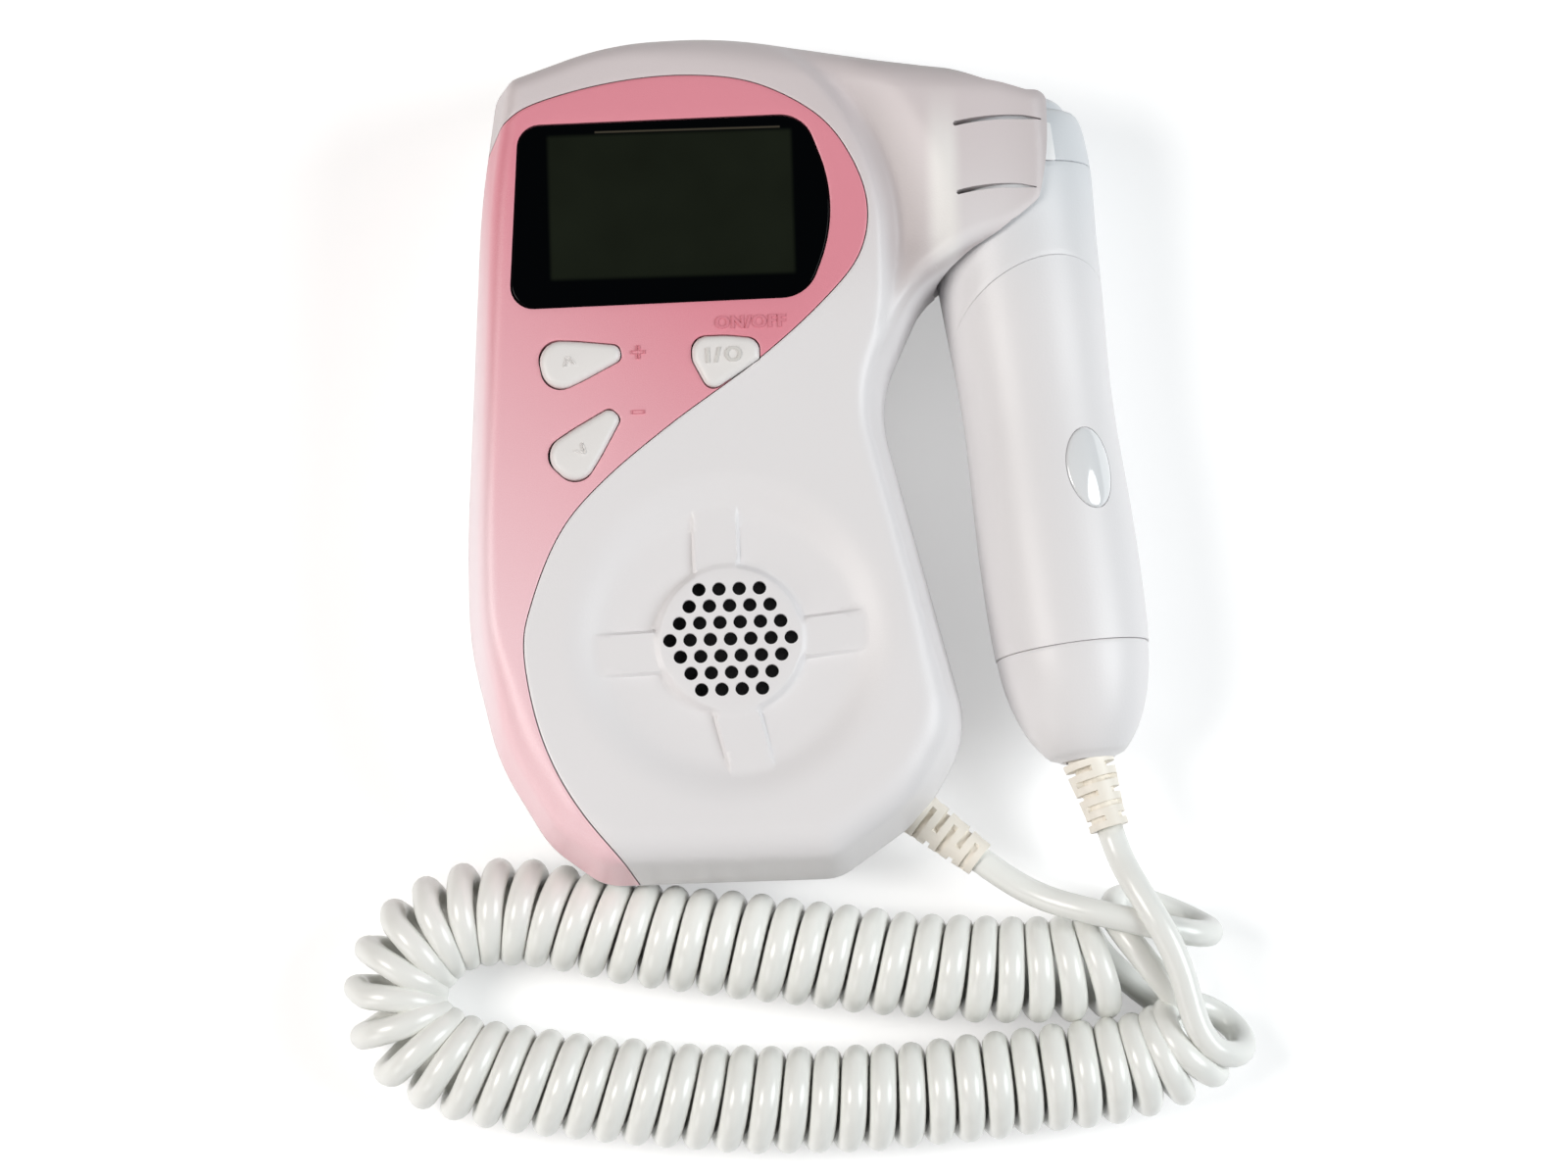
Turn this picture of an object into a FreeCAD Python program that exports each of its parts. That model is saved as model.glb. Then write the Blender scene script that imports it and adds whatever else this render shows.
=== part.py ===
"""Hand-held fetal heart monitor with a round speaker lobe, a side clip for its probe and a curly lead.

It lies on its back: X to the right, Y towards the display end, Z up out of the front face.
The origin is under the middle of the body and probe, on the surface that the back rests on.
Sizes are in millimetres. Each piece is one STEP file.
"""
import FreeCAD, Part
import math
import os

V = FreeCAD.Vector

# ---------------------------------------------------------------- driving dimensions
THICK = 34.0            # whole thickness of the closed case
PART_Z = THICK / 2      # height of the plane where the two shells meet
FRONT_DRAFT = 3.0       # how far the front face lies inside the widest outline
REAR_DRAFT = 2.4        # the same for the back face
EDGE_R = 3.0            # rounding round both faces
SKIN = 1.2              # thickness of the pink facing
WALL = 2.8              # wall of both shells, with the facing where there is one
GAP = 0.15              # clearance beside fixed inserts
KEY_GAP = 0.25          # clearance round each key

# outline of the closed case at PART_Z, counter-clockwise: x, y and corner radius
FOOT_Y = -71.5
LOBE = [(-35.7, FOOT_Y, 9.0), (3.6, -71.4, 8.0), (18.4, -61.3, 26.0), (26.1, -47.6, 16.5)]
WAIST = [(12.6, 8.4, 20.0), (20.8, 25.6, 14.0)]
ARM = [(44.6, 40.9, 9.0), (44.6, 60.9, 3.6)]
CROWN = [(-11.2, 72.3, 80.0), (-31.1, 71.75, 55.0), (-50.3, 65.2, 5.5)]
FLANK = [(-53.6, 44.5, 150.0), (-57.25, -13.2, 200.0), (-57.25, -30.3, 55.0), (-52.9, -50.2, 36.0),
         (-44.6, -64.7, 16.0)]
OUTLINE = LOBE + WAIST + ARM + CROWN + FLANK
SPAN = 2 * max(abs(size) for point in OUTLINE for size in point[:2])     # cutters reach past the case

# edge of the pink facing, from the left flank over the display and down the S to the foot
FACING_EDGE = [(-58.0, 50.0), (-50.1, 54.8), (-43.7, 58.7), (-31.1, 61.9), (-18.4, 62.9), (-6.8, 61.3),
               (3.4, 55.8), (9.0, 48.6), (11.7, 40.0), (10.1, 31.5), (3.6, 23.6), (-7.4, 14.1),
               (-21.9, 3.9), (-33.6, -5.5), (-41.0, -14.0), (-46.0, -25.5), (-47.5, -34.4),
               (-44.8, -48.4), (-38.7, -60.6), (-27.5, -74.0)]
FACING_BACK = [(-62.0, -74.0), (-66.0, 50.0)]

# display
WINDOW = [(-48.4, 23.9, 4.0), (1.2, 24.6, 6.5), (7.2, 39.5, 26.0), (1.4, 55.6, 6.0), (-46.2, 55.0, 4.0)]
WINDOW_T = 1.0
LCD_VIEW = (-41.4, 28.7, 40.7, 24.4)      # x, y, width and height of the visible area
LCD_MARGIN = 2.2        # how far the panel reaches past its visible area
LCD_T = 1.6

# keys: x, y and radius of the two ends of each drop-shaped volume key
VOLUME_UP = ((-40.2, 13.6, 4.2), (-31.9, 15.5, 2.0))
VOLUME_DOWN = ((-38.6, -1.5, 4.2), (-32.3, 4.6, 2.0))
POWER = [(-17.9, 14.8, 2.6), (-15.2, 8.9, 1.6), (-13.6, 8.9, 1.2), (-6.2, 14.3, 1.2), (-6.6, 18.3, 2.0),
         (-17.6, 18.6, 3.2)]
KEY_RISE = 0.9
KEY_CROWN = 0.7
KEY_FLANGE = 1.0
KEY_FLANGE_T = 1.2
KEY_TRAVEL = 0.8
SWITCH_SIZE = 6.0
SWITCH_H = 3.4
STEM_R = 1.7
STEM_FIT = 0.15

# speaker lobe
SPEAKER = (-13.4, -32.8)
DISH_R = 27.0
DISH_DEPTH = 2.0
FLOOR_R = 14.0
DISC_R = 12.4
DISC_SINK = 1.0
DISC_TOP = THICK - DISC_SINK
HOLE_R = 1.08
HOLE_PITCH = 3.32
HOLE_ROWS = [4, 5, 6, 7, 6, 5, 4]
STRAP_W = 7.2
STRAP_REACH = 21.5
STRAP_TURN = 5.7
DISH_SKIN = 2.3
SPEAKER_R = 18.0
SPEAKER_H = 6.4
MAGNET_R = 8.0
MAGNET_H = 2.6
BASKET_T = 0.9
GASKET_T = 0.8
CONE_WALL = 0.5
CONE_GAP = 2.0
COIL_HOLE_R = 4.0
RIM_W = 2.4

# valley between the face and the clip arm
VALLEY_C = (-22.0, 35.0)
VALLEY_IN = 34.6
VALLEY_R = 39.0
VALLEY_OUT = 48.5
VALLEY_DEPTH = 4.6
VALLEY_HEADROOM = 8.0
VALLEY_TILT = 11.0

# probe and its clip; t runs along the probe axis towards the nose, from the foot of the axis
AXIS_X = 40.32
AXIS_Z = PART_Z
AXIS_TILT = 5.95
BORE_R = 14.95
BORE_START = 4.0
BORE_L = 80.0
CLIP_WALL = 2.2
SLIT_T = (54.0, 42.3)
SLIT_START = -8.4
SLIT_W = 0.8
NOSE = [(49.0, 14.7), (53.0, 14.3), (55.0, 13.85), (56.0, 13.3), (56.5, 12.3)]
HEAD = [(30.0, 13.85), (36.0, 14.1), (42.0, 14.5), (46.0, 14.68), (49.0, 14.7)]
BARREL = [(-34.5, 13.0), (-30.0, 13.25), (-22.0, 13.4), (-12.0, 13.3), (-2.0, 12.95), (7.0, 12.8),
          (16.0, 13.15), (24.0, 13.6), (30.0, 13.85)]
TAIL = [(-53.1, 4.7), (-52.6, 5.9), (-50.8, 7.7), (-47.5, 9.75), (-43.0, 11.45), (-38.5, 12.45),
        (-34.5, 12.8)]
PROBE_WALL = 2.0
SEAM_T = 20.8           # where the slanting joint of head and barrel crosses the probe axis
SEAM_LEAN = 35.5        # how far that joint leans from square to the axis
SEAM_TURN = 25.0        # the side where it comes nearest to the nose, from the top
LENS_R = 11.7
LENS_RISE = 0.6
LENS_DOME = 2.8
LENS_SEAT = 1.5
SEAL_T = 0.6
CRYSTAL_R = 3.0
CRYSTAL_T = 1.0
CRYSTAL_RING = 7.0
CRYSTALS = 6
BACKING_T = 4.0
BOARD_T = 1.6
PROBE_BOARD_W = 15.0
PROBE_BOARD_START = -28.0
BADGE_T = -5.6
BADGE_ANGLE = 31.0
BADGE_LONG = 7.0
BADGE_SHORT = 4.4
BADGE_RISE = 0.35

# batteries and their door
CELL_R = 7.25
CELL_L = 49.2
CELL_NUB = 1.3
CELL_X = (-22.5, -7.0)
CELL_FOOT = 10.0        # from the foot of the case to the springs' end of the cells
CELL_Y = FOOT_Y + CELL_FOOT
CELL_Z = 9.6
SPRING_L = 4.4
SPRING_R = 3.6
SPRING_WIRE_R = 0.4
SPRING_TURNS = 4
PLATE_T = 0.5
BAY_CLEAR = 0.5
DOOR_T = 1.8
DOOR_LAP = 2.0
DOOR_GAP = 0.3
PIN_R = 1.0
PIN_L = 1.4
PIN_FIT = 0.06

# board, switches and screws
BOARD_DEPTH = 9.6       # from the front face down to the board
BOARD_TOP = THICK - BOARD_DEPTH
BOARD_INSET = 6.2
BOARD_Y = -6.5
BOARD_X = 13.0
BOSSES = [(-45.6, 60.2), (7.5, 60.5), (8.6, 1.5), (-48.2, -19.0), (15.6, -46.5), (-36.0, -66.0)]
BOSS_R = 3.2
SCREW_R = 1.2
HEAD_R = 2.3
HEAD_H = 1.7
SINK_Z = 8.0
SCREW_REACH = 7.5
TIP_ROOM = 0.5          # room past the tip of each screw
BOARD_SCREWS = [(-47.2, 42.0), (-48.0, 8.0), (9.6, 46.5), (-22.0, 0.0)]
BOARD_BOSS_R = 2.3
BOARD_SCREW_R = 0.9
BOARD_HEAD_R = 1.8
BOARD_HEAD_H = 1.2
BOARD_SCREW_REACH = 4.5

# strain reliefs and the curly lead
CORD_D = 4.6
CABLE_HOLE_R = 2.45
CABLE_ROOM = 8.0
CORD_DROP = 3.0         # how far the monitor's end of the lead leaves it below the parting plane
MONITOR_EXIT = (14.6, -58.4, PART_Z - CORD_DROP)
MONITOR_RELIEF_END = (27.2, -68.6, PART_Z - CORD_DROP)
MONITOR_RELIEF_R = (4.2, 3.1)
MONITOR_RELIEF_FLANGE = 2.6
PROBE_RELIEF_END = (49.0, -64.3, AXIS_Z)
PROBE_RELIEF_R = (4.4, 3.0)
RELIEF_SLOTS = 5
RELIEF_CORE = 2.7
RELIEF_BRIDGE = 2.4
COIL_R = 9.0
MONITOR_ROUTE = [(27.2, -68.6, 14.0), (31.2, -71.84, 14.0), (37.6, -75.0, 14.8), (44.0, -76.6, 15.6),
                 (50.4, -76.8, 15.6), (56.8, -77.6, 14.6), (59.77, -81.9, 11.8), (56.8, -86.224, 9.0),
                 (50.6, -86.6, 9.0)]
COIL_ROUTE = [(50.6, -86.6), (44.0, -87.0), (34.0, -87.0), (20.0, -86.2), (4.0, -84.0), (-12.6, -81.8),
              (-28.0, -80.5), (-40.0, -78.6), (-50.0, -76.2), (-59.5, -76.0), (-66.8, -80.6),
              (-70.2, -88.2), (-68.4, -95.6), (-62.2, -100.8), (-51.0, -103.6), (-34.0, -105.8),
              (-14.0, -107.6), (8.0, -107.8), (24.0, -107.0), (38.0, -106.0), (50.0, -104.8),
              (57.0, -103.0)]
PROBE_ROUTE = [(57.0, -103.0, 9.0), (62.83, -101.5, 9.0), (66.0, -96.2, 11.4), (62.9, -90.6, 14.8),
               (58.6, -84.8, 18.2), (55.0, -79.3, 20.6), (52.3, -73.9, 19.4), (50.2, -68.64, 17.0),
               (49.0, -64.3, 17.0)]

AXIS_DIR = V(-math.sin(math.radians(AXIS_TILT)), math.cos(math.radians(AXIS_TILT)), 0)
AXIS_SIDE = V(AXIS_DIR.y, -AXIS_DIR.x, 0)
AXIS_FOOT = V(AXIS_X, 0, AXIS_Z)
PROBE_EXIT = AXIS_FOOT + AXIS_DIR * TAIL[0][0]


# ---------------------------------------------------------------- plan outlines
def inset(points, by, least=0.4):
    """Move every side of a rounded polygon inwards (counter-clockwise points)."""
    moved = []
    count = len(points)
    for i in range(count):
        before, here, after = (V(*points[k % count][:2], 0) for k in (i - 1, i, i + 1))
        into = (here - before).normalize()
        out = (after - here).normalize()
        turn = into.x * out.y - into.y * out.x
        shift = (out - into) * (by / turn)
        radius = points[i][2] - by if turn > 0 else points[i][2] + by
        moved.append((here.x + shift.x, here.y + shift.y, max(radius, least)))
    return moved


def outline_wire(points, z):
    """A closed wire of straight sides and tangent corner arcs at height z."""
    count = len(points)
    starts = []
    arcs = []
    for i in range(count):
        before, here, after = (V(*points[k % count][:2], z) for k in (i - 1, i, i + 1))
        into = (here - before).normalize()
        out = (after - here).normalize()
        turn = math.acos(max(-1.0, min(1.0, into.dot(out))))
        reach = points[i][2] * math.tan(turn / 2)
        first = here - into * reach
        last = here + out * reach
        middle = here + (out - into).normalize() * points[i][2] * (1 / math.cos(turn / 2) - 1)
        starts.append((first, last))
        arcs.append(Part.Arc(first, middle, last).toShape())
    edges = []
    for i in range(count):
        edges.append(arcs[i])
        side = (starts[i][1], starts[(i + 1) % count][0])
        if (side[1] - side[0]).Length > 1e-6:
            edges.append(Part.makeLine(*side))
    return Part.Wire(edges)


def prism(points, low, high):
    face = Part.Face(outline_wire(points, low))
    return face.extrude(V(0, 0, high - low))


def tapered(points, low, high, draft):
    """A prism whose top (or bottom, when high is lower) lies inside its foot by draft."""
    foot = outline_wire(points, low)
    head = outline_wire(inset(points, draft, EDGE_R + 0.3), high)
    return Part.makeLoft([foot, head], True, True)


def rounded_end(solid, z, radius):
    """Round the edge loop at height z."""
    edges = [e for e in solid.Edges if all(abs(v.Z - z) < 1e-4 for v in e.Vertexes)]
    return solid.makeFillet(radius, edges)


def drop(ends, grow=0.0):
    """The drop-shaped outline round two circles, as a rounded polygon."""
    (x1, y1, r1), (x2, y2, r2) = ends
    r1, r2 = r1 + grow, r2 + grow
    along = V(x2 - x1, y2 - y1, 0)
    length = along.Length
    along.normalize()
    side = V(-along.y, along.x, 0)
    lean = math.asin((r1 - r2) / length)
    points = []
    for x, y, r, way in ((x1, y1, r1, -1), (x2, y2, r2, 1)):
        wide = r * math.tan((math.pi / 2 - way * lean) / 2)
        corner = V(x, y, 0) + along * (way * r)
        points.append((corner - side * (way * wide), r))
        points.append((corner + side * (way * wide), r))
    return [(p.x, p.y, r) for p, r in points]


def grown(points, by):
    return inset(points, -by)


def box(x0, y0, z0, x1, y1, z1):
    return Part.makeBox(x1 - x0, y1 - y0, z1 - z0, V(x0, y0, z0))


def disc(x, y, z0, z1, radius):
    return Part.makeCylinder(radius, z1 - z0, V(x, y, z0))


def fused(solids):
    return solids[0].multiFuse(solids[1:]).removeSplitter() if len(solids) > 1 else solids[0]


# ---------------------------------------------------------------- along the probe axis
def on_axis(t, aside=0.0, up=0.0):
    return AXIS_FOOT + AXIS_DIR * t + AXIS_SIDE * aside + V(0, 0, up)


def rod(t0, t1, radius):
    return Part.makeCylinder(radius, t1 - t0, on_axis(t0), AXIS_DIR)


def turned(outer, inner=None):
    """A solid turned about the probe axis from (t, radius) points; inner gives the bore's points."""
    curve = Part.BSplineCurve()
    curve.interpolate([on_axis(t, r) for t, r in outer])
    (first_t, first_r), (last_t, last_r) = outer[0], outer[-1]
    if inner:
        back = [on_axis(last_t, last_r)] + [on_axis(t, r) for t, r in reversed(inner)]
    else:
        back = [on_axis(last_t, last_r), on_axis(last_t), on_axis(first_t)]
    back.append(on_axis(first_t, first_r))
    face = Part.Face(Part.Wire([curve.toShape()] + Part.makePolygon(back).Edges))
    return face.revolve(AXIS_FOOT, AXIS_DIR, 360)


# ---------------------------------------------------------------- case
def front_form(by=0.0, top=THICK, radius=EDGE_R):
    """The front half of the closed case, or the same form inset by a wall."""
    draft = FRONT_DRAFT * (top - PART_Z) / (THICK - PART_Z)
    form = tapered(inset(OUTLINE, by, EDGE_R + 0.3), PART_Z, top, draft)
    return rounded_end(form, top, radius) if radius else form


def valley(sink=0.0):
    """The ring-shaped groove between the face and the arm, sunk by a wall for the inside."""
    floor = THICK - VALLEY_DEPTH - sink
    high = THICK + VALLEY_HEADROOM
    lean_in = (VALLEY_R - VALLEY_IN) / VALLEY_DEPTH
    lean_out = (VALLEY_OUT - VALLEY_R) / VALLEY_DEPTH
    cx, cy = VALLEY_C
    rise = high - floor
    inner = V(cx + VALLEY_R - lean_in * rise, cy, high)
    outer = V(cx + VALLEY_R + lean_out * rise, cy, high)
    profile = Part.makePolygon([inner, V(cx + VALLEY_R, cy, floor), outer, inner])
    ring = Part.Face(profile).revolve(V(cx, cy, 0), V(0, 0, 1), 360)
    ring.rotate(V(cx + VALLEY_R, cy, floor), V(0, 1, 0), VALLEY_TILT)
    return ring


def facing_region():
    """The plan area of the pink facing, as a tall prism."""
    curve = Part.BSplineCurve()
    curve.interpolate([V(x, y, PART_Z) for x, y in FACING_EDGE])
    ends = [FACING_EDGE[-1]] + FACING_BACK + [FACING_EDGE[0]]
    closing = Part.makePolygon([V(x, y, PART_Z) for x, y in ends])
    return Part.Face(Part.Wire([curve.toShape()] + closing.Edges)).extrude(V(0, 0, THICK))


def dish():
    """The hollow round the speaker, with the disc and its straps left standing."""
    x, y = SPEAKER
    floor = THICK - DISH_DEPTH
    mid_r = (DISH_R + FLOOR_R) / 2
    slope = Part.Arc(V(x + FLOOR_R, y, floor), V(x + mid_r, y, floor + DISH_DEPTH * 0.32),
                     V(x + DISH_R, y, THICK)).toShape()
    rest = Part.makePolygon([V(x + DISH_R, y, THICK), V(x, y, THICK), V(x, y, floor), V(x + FLOOR_R, y, floor)])
    hollow = Part.Face(Part.Wire([slope] + rest.Edges)).revolve(V(x, y, 0), V(0, 0, 1), 360)
    centre = V(x, y, 0)
    for quarter in range(4):
        strap = box(x + DISC_R - 1.0, y - STRAP_W / 2, floor - 1.0, x + STRAP_REACH, y + STRAP_W / 2,
                    DISC_TOP - 0.4)
        strap.rotate(centre, V(0, 0, 1), 90 * quarter + STRAP_TURN)
        hollow = hollow.cut(strap)
    button = rounded_end(disc(x, y, floor - 1.0, DISC_TOP, DISC_R), DISC_TOP, 0.8)
    return hollow.cut(button)


def speaker_holes(low, high):
    x, y = SPEAKER
    step = HOLE_PITCH * math.sqrt(3) / 2
    holes = []
    for row, count in enumerate(HOLE_ROWS):
        for place in range(count):
            hx = x + (place - (count - 1) / 2) * HOLE_PITCH
            hy = y + (row - (len(HOLE_ROWS) - 1) / 2) * step
            holes.append(disc(hx, hy, low, high, HOLE_R))
    return holes


def slits(low, high):
    """Cuts that let the middle of the jaw flex."""
    cuts = []
    for t in SLIT_T:
        cut = Part.makeBox(SPAN, SLIT_W, high - low)
        cut.translate(V(SLIT_START, -SLIT_W / 2, low))
        cut.rotate(V(0, 0, 0), V(0, 0, 1), AXIS_TILT)
        spot = on_axis(t)
        cut.translate(V(spot.x, spot.y, 0))
        cuts.append(cut)
    return cuts


def bore():
    return rod(BORE_START, BORE_START + BORE_L, BORE_R)


def bore_wall():
    return rod(BORE_START - CLIP_WALL, BORE_START + BORE_L, BORE_R + CLIP_WALL)


def dish_plug(low, high):
    return disc(*SPEAKER, low, high, DISH_R + 1.0)


def front_cavity():
    """The hollow of the front shell."""
    hollow = front_form(WALL, THICK - WALL, 0)
    hollow = hollow.cut(bore_wall())
    hollow = hollow.cut(valley(WALL))
    return hollow.cut(dish_plug(THICK - DISH_DEPTH - DISH_SKIN, THICK))


def key_outlines(grow):
    return [drop(VOLUME_UP, grow), drop(VOLUME_DOWN, grow), grown(POWER, grow)]


def lcd_opening(low, high):
    x, y, w, h = LCD_VIEW
    return box(x, y, low, x + w, y + h, high)


def case_posts():
    """Screw posts of the front shell, from the parting plane to its inner face."""
    return [disc(x, y, PART_Z, THICK - WALL + 0.2, BOSS_R) for x, y in BOSSES]


def board_posts():
    return [disc(x, y, BOARD_TOP, THICK - WALL + 0.2, BOARD_BOSS_R) for x, y in BOARD_SCREWS]


def cable_hole(radius):
    start = V(*MONITOR_EXIT)
    way = V(*MONITOR_RELIEF_END) - start
    length = way.Length + 2 * CABLE_ROOM
    way.normalize()
    return Part.makeCylinder(radius, length, start - way * CABLE_ROOM, way)


def relief_flange(grow=0.0):
    """The collar of the monitor's strain relief, held between the two shells."""
    start = V(*MONITOR_EXIT)
    way = (V(*MONITOR_RELIEF_END) - start).normalize()
    return Part.makeCylinder(MONITOR_RELIEF_R[0] + 1.2 + grow, MONITOR_RELIEF_FLANGE + 2 * grow,
                             start - way * (MONITOR_RELIEF_FLANGE / 2 + grow), way)


def front_shell():
    skin = front_form(SKIN, THICK - SKIN, EDGE_R * 0.7)
    facing_room = facing_region().cut(skin)
    shell = front_form().cut(valley())
    shell = shell.cut(facing_room)
    shell = shell.cut(dish())
    shell = shell.cut(front_cavity())
    shell = fused([shell] + [p.common(front_form(SKIN + 0.4, THICK - SKIN - 0.4, 0)).cut(valley(SKIN))
                             for p in case_posts() + board_posts()])
    cutters = [bore()] + slits(PART_Z + 4, THICK + 1)
    cutters += speaker_holes(THICK - DISH_DEPTH - DISH_SKIN - 1, THICK)
    cutters.append(lcd_opening(THICK - WALL - 1, THICK))
    cutters += [prism(p, THICK - WALL - 1, THICK) for p in key_outlines(KEY_GAP)]
    cutters += [disc(x, y, PART_Z - WALL, PART_Z + SCREW_REACH + TIP_ROOM, SCREW_R) for x, y in BOSSES]
    cutters += [disc(x, y, BOARD_TOP - BOARD_T, BOARD_TOP + BOARD_SCREW_REACH + TIP_ROOM, BOARD_SCREW_R)
                for x, y in BOARD_SCREWS]
    cutters += [cable_hole(MONITOR_RELIEF_R[0] + GAP), relief_flange(GAP)]
    return shell.cut(cutters)


def pink_fascia():
    skin = front_form(SKIN, THICK - SKIN, EDGE_R * 0.7)
    facing = front_form().common(facing_region()).cut(skin)
    facing = facing.cut(valley())
    cutters = [prism(grown(WINDOW, GAP), THICK - SKIN - 1, THICK + 1)]
    cutters += [prism(p, THICK - SKIN - 1, THICK + 1) for p in key_outlines(KEY_GAP)]
    return facing.cut(cutters)


def display_window():
    plate = prism(WINDOW, THICK - SKIN, THICK - SKIN + WINDOW_T)
    return rounded_end(plate, THICK - SKIN + WINDOW_T, 0.35)


def lcd_box():
    x, y, w, h = LCD_VIEW
    return x - LCD_MARGIN, y - LCD_MARGIN, x + w + LCD_MARGIN, y + h + LCD_MARGIN


def lcd_panel():
    x0, y0, x1, y1 = lcd_box()
    top = THICK - WALL
    return box(x0, y0, top - LCD_T, x1, y1, top)


def lcd_frame():
    """The light guide and holder that carries the panel on the board."""
    x0, y0, x1, y1 = lcd_box()
    body = box(x0, y0, BOARD_TOP, x1, y1, THICK - WALL - LCD_T)
    room = box(x0 + 2, y0 + 2, BOARD_TOP, x1 - 2, y1 - 2, THICK - WALL - LCD_T - 1.5)
    return body.cut(room)


def board_outline():
    plan = prism(inset(OUTLINE, BOARD_INSET), BOARD_TOP - BOARD_T, BOARD_TOP)
    return plan.common(box(-SPAN, BOARD_Y, 0, BOARD_X, SPAN, THICK))


def main_board():
    board = board_outline()
    clear = BOSS_R + 0.4
    cutters = [disc(x, y, 0, THICK, clear) for x, y in BOSSES]
    cutters += [disc(x, y, 0, THICK, BOARD_SCREW_R) for x, y in BOARD_SCREWS]
    return board.cut(cutters)


def key_middle(points):
    return (sum(p[0] for p in points) / len(points), sum(p[1] for p in points) / len(points))


def key_places():
    return [key_middle(p) for p in key_outlines(0)]


def tact_switches():
    """Three switch bodies on the board, each open for its stem."""
    half = SWITCH_SIZE / 2
    bodies = []
    for x, y in key_places():
        body = box(x - half, y - half, BOARD_TOP, x + half, y + half, BOARD_TOP + SWITCH_H)
        bodies.append(body.cut(disc(x, y, BOARD_TOP + 0.8, THICK, STEM_R + STEM_FIT)))
    return Part.makeCompound(bodies)


def key_cap(points):
    """A key with a crowned top and a flange that keeps it in the shell."""
    flange_top = THICK - WALL - 0.1
    cap = rounded_end(prism(points, flange_top - 0.4, THICK + KEY_RISE), THICK + KEY_RISE, KEY_CROWN)
    flange = prism(grown(points, KEY_FLANGE + KEY_GAP), flange_top - KEY_FLANGE_T, flange_top)
    return fused([cap, flange])


def key_stem(points):
    """The switch's own stem, which the key rests on."""
    x, y = key_middle(points)
    low = BOARD_TOP + 0.8 + KEY_TRAVEL + 0.2
    return disc(x, y, low, THICK - WALL - 0.1 - KEY_FLANGE_T, STEM_R)


# ---------------------------------------------------------------- speaker
def speaker_top():
    return THICK - DISH_DEPTH - DISH_SKIN


def speaker_gasket():
    top = speaker_top()
    return disc(*SPEAKER, top - GASKET_T, top, SPEAKER_R).cut(disc(*SPEAKER, 0, THICK, SPEAKER_R - RIM_W))


def speaker_frame():
    """The pressed basket: a rim, a cone-shaped wall and a seat for the magnet."""
    x, y = SPEAKER
    top = speaker_top() - GASKET_T
    low = top - SPEAKER_H + MAGNET_H
    lip = SPEAKER_R - RIM_W
    outer = Part.makePolygon([V(x + MAGNET_R + BASKET_T, y, low), V(x + lip, y, top - BASKET_T),
                              V(x + SPEAKER_R, y, top - BASKET_T), V(x + SPEAKER_R, y, top),
                              V(x + lip, y, top), V(x + MAGNET_R - BASKET_T / 2, y, low + BASKET_T),
                              V(x + COIL_HOLE_R, y, low + BASKET_T), V(x + COIL_HOLE_R, y, low),
                              V(x + MAGNET_R + BASKET_T, y, low)])
    return Part.Face(outer).revolve(V(x, y, 0), V(0, 0, 1), 360)


def speaker_cone():
    """The paper cone with its dust cap, just inside the basket."""
    x, y = SPEAKER
    top = speaker_top() - GASKET_T
    low = top - SPEAKER_H + MAGNET_H + BASKET_T + CONE_WALL
    rim = SPEAKER_R - RIM_W - CONE_GAP
    cap = COIL_HOLE_R + CONE_WALL
    cone = Part.makePolygon([V(x + cap, y, low), V(x + rim, y, top - CONE_WALL), V(x + rim, y, top),
                             V(x + cap, y, low + CONE_WALL), V(x, y, low + 2 * CONE_WALL),
                             V(x, y, low + CONE_WALL), V(x + cap, y, low)])
    return Part.Face(cone).revolve(V(x, y, 0), V(0, 0, 1), 360)


def speaker_magnet():
    low = speaker_top() - GASKET_T - SPEAKER_H
    return disc(*SPEAKER, low, low + MAGNET_H, MAGNET_R)


# ---------------------------------------------------------------- rear shell, batteries and door
def rear_form(by=0.0, low=0.0, radius=EDGE_R):
    draft = REAR_DRAFT * (PART_Z - low) / PART_Z
    form = tapered(inset(OUTLINE, by, EDGE_R + 0.3), PART_Z, low, draft)
    return rounded_end(form, low, radius) if radius else form


def bay_box(grow=0.0):
    """The space for the two cells, from the inner face of the door up."""
    x0 = CELL_X[0] - CELL_R - BAY_CLEAR - grow
    x1 = CELL_X[1] + CELL_R + BAY_CLEAR + grow
    y0 = CELL_Y - SPRING_L - PLATE_T - grow
    y1 = CELL_Y + CELL_L + PLATE_T + BAY_CLEAR + grow
    return x0, y0, x1, y1


def bay_top():
    return CELL_Z + CELL_R + BAY_CLEAR


def door_box():
    x0, y0, x1, y1 = bay_box()
    return x0 - DOOR_LAP, y0 - 0.5, x1 + DOOR_LAP, y1 + DOOR_LAP + 1.0


def hinge_place():
    x0, y0, x1, y1 = door_box()
    return x0, x1, y1 - DOOR_T / 2, DOOR_T / 2 + 0.2


def door_room():
    """The opening of the back that the door fills, with sockets for its two pins."""
    x0, y0, x1, y1 = door_box()
    g = DOOR_GAP
    px0, px1, py, pz = hinge_place()
    reach = DOOR_T / 2 + 0.2 + g
    room = box(x0 - g, y0 - g, -1, x1 + g, py, DOOR_T + g)
    knuckle = Part.makeCylinder(reach, px1 - px0 + 2 * g, V(px0 - g, py, pz), V(1, 0, 0))
    slot = box(x0 - g, py, -1, x1 + g, py + reach, pz)
    pins = Part.makeCylinder(PIN_R + PIN_FIT, px1 - px0 + 2 * PIN_L + 0.4, V(px0 - PIN_L - 0.2, py, pz),
                             V(1, 0, 0))
    return fused([room, knuckle, slot, pins])


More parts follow.
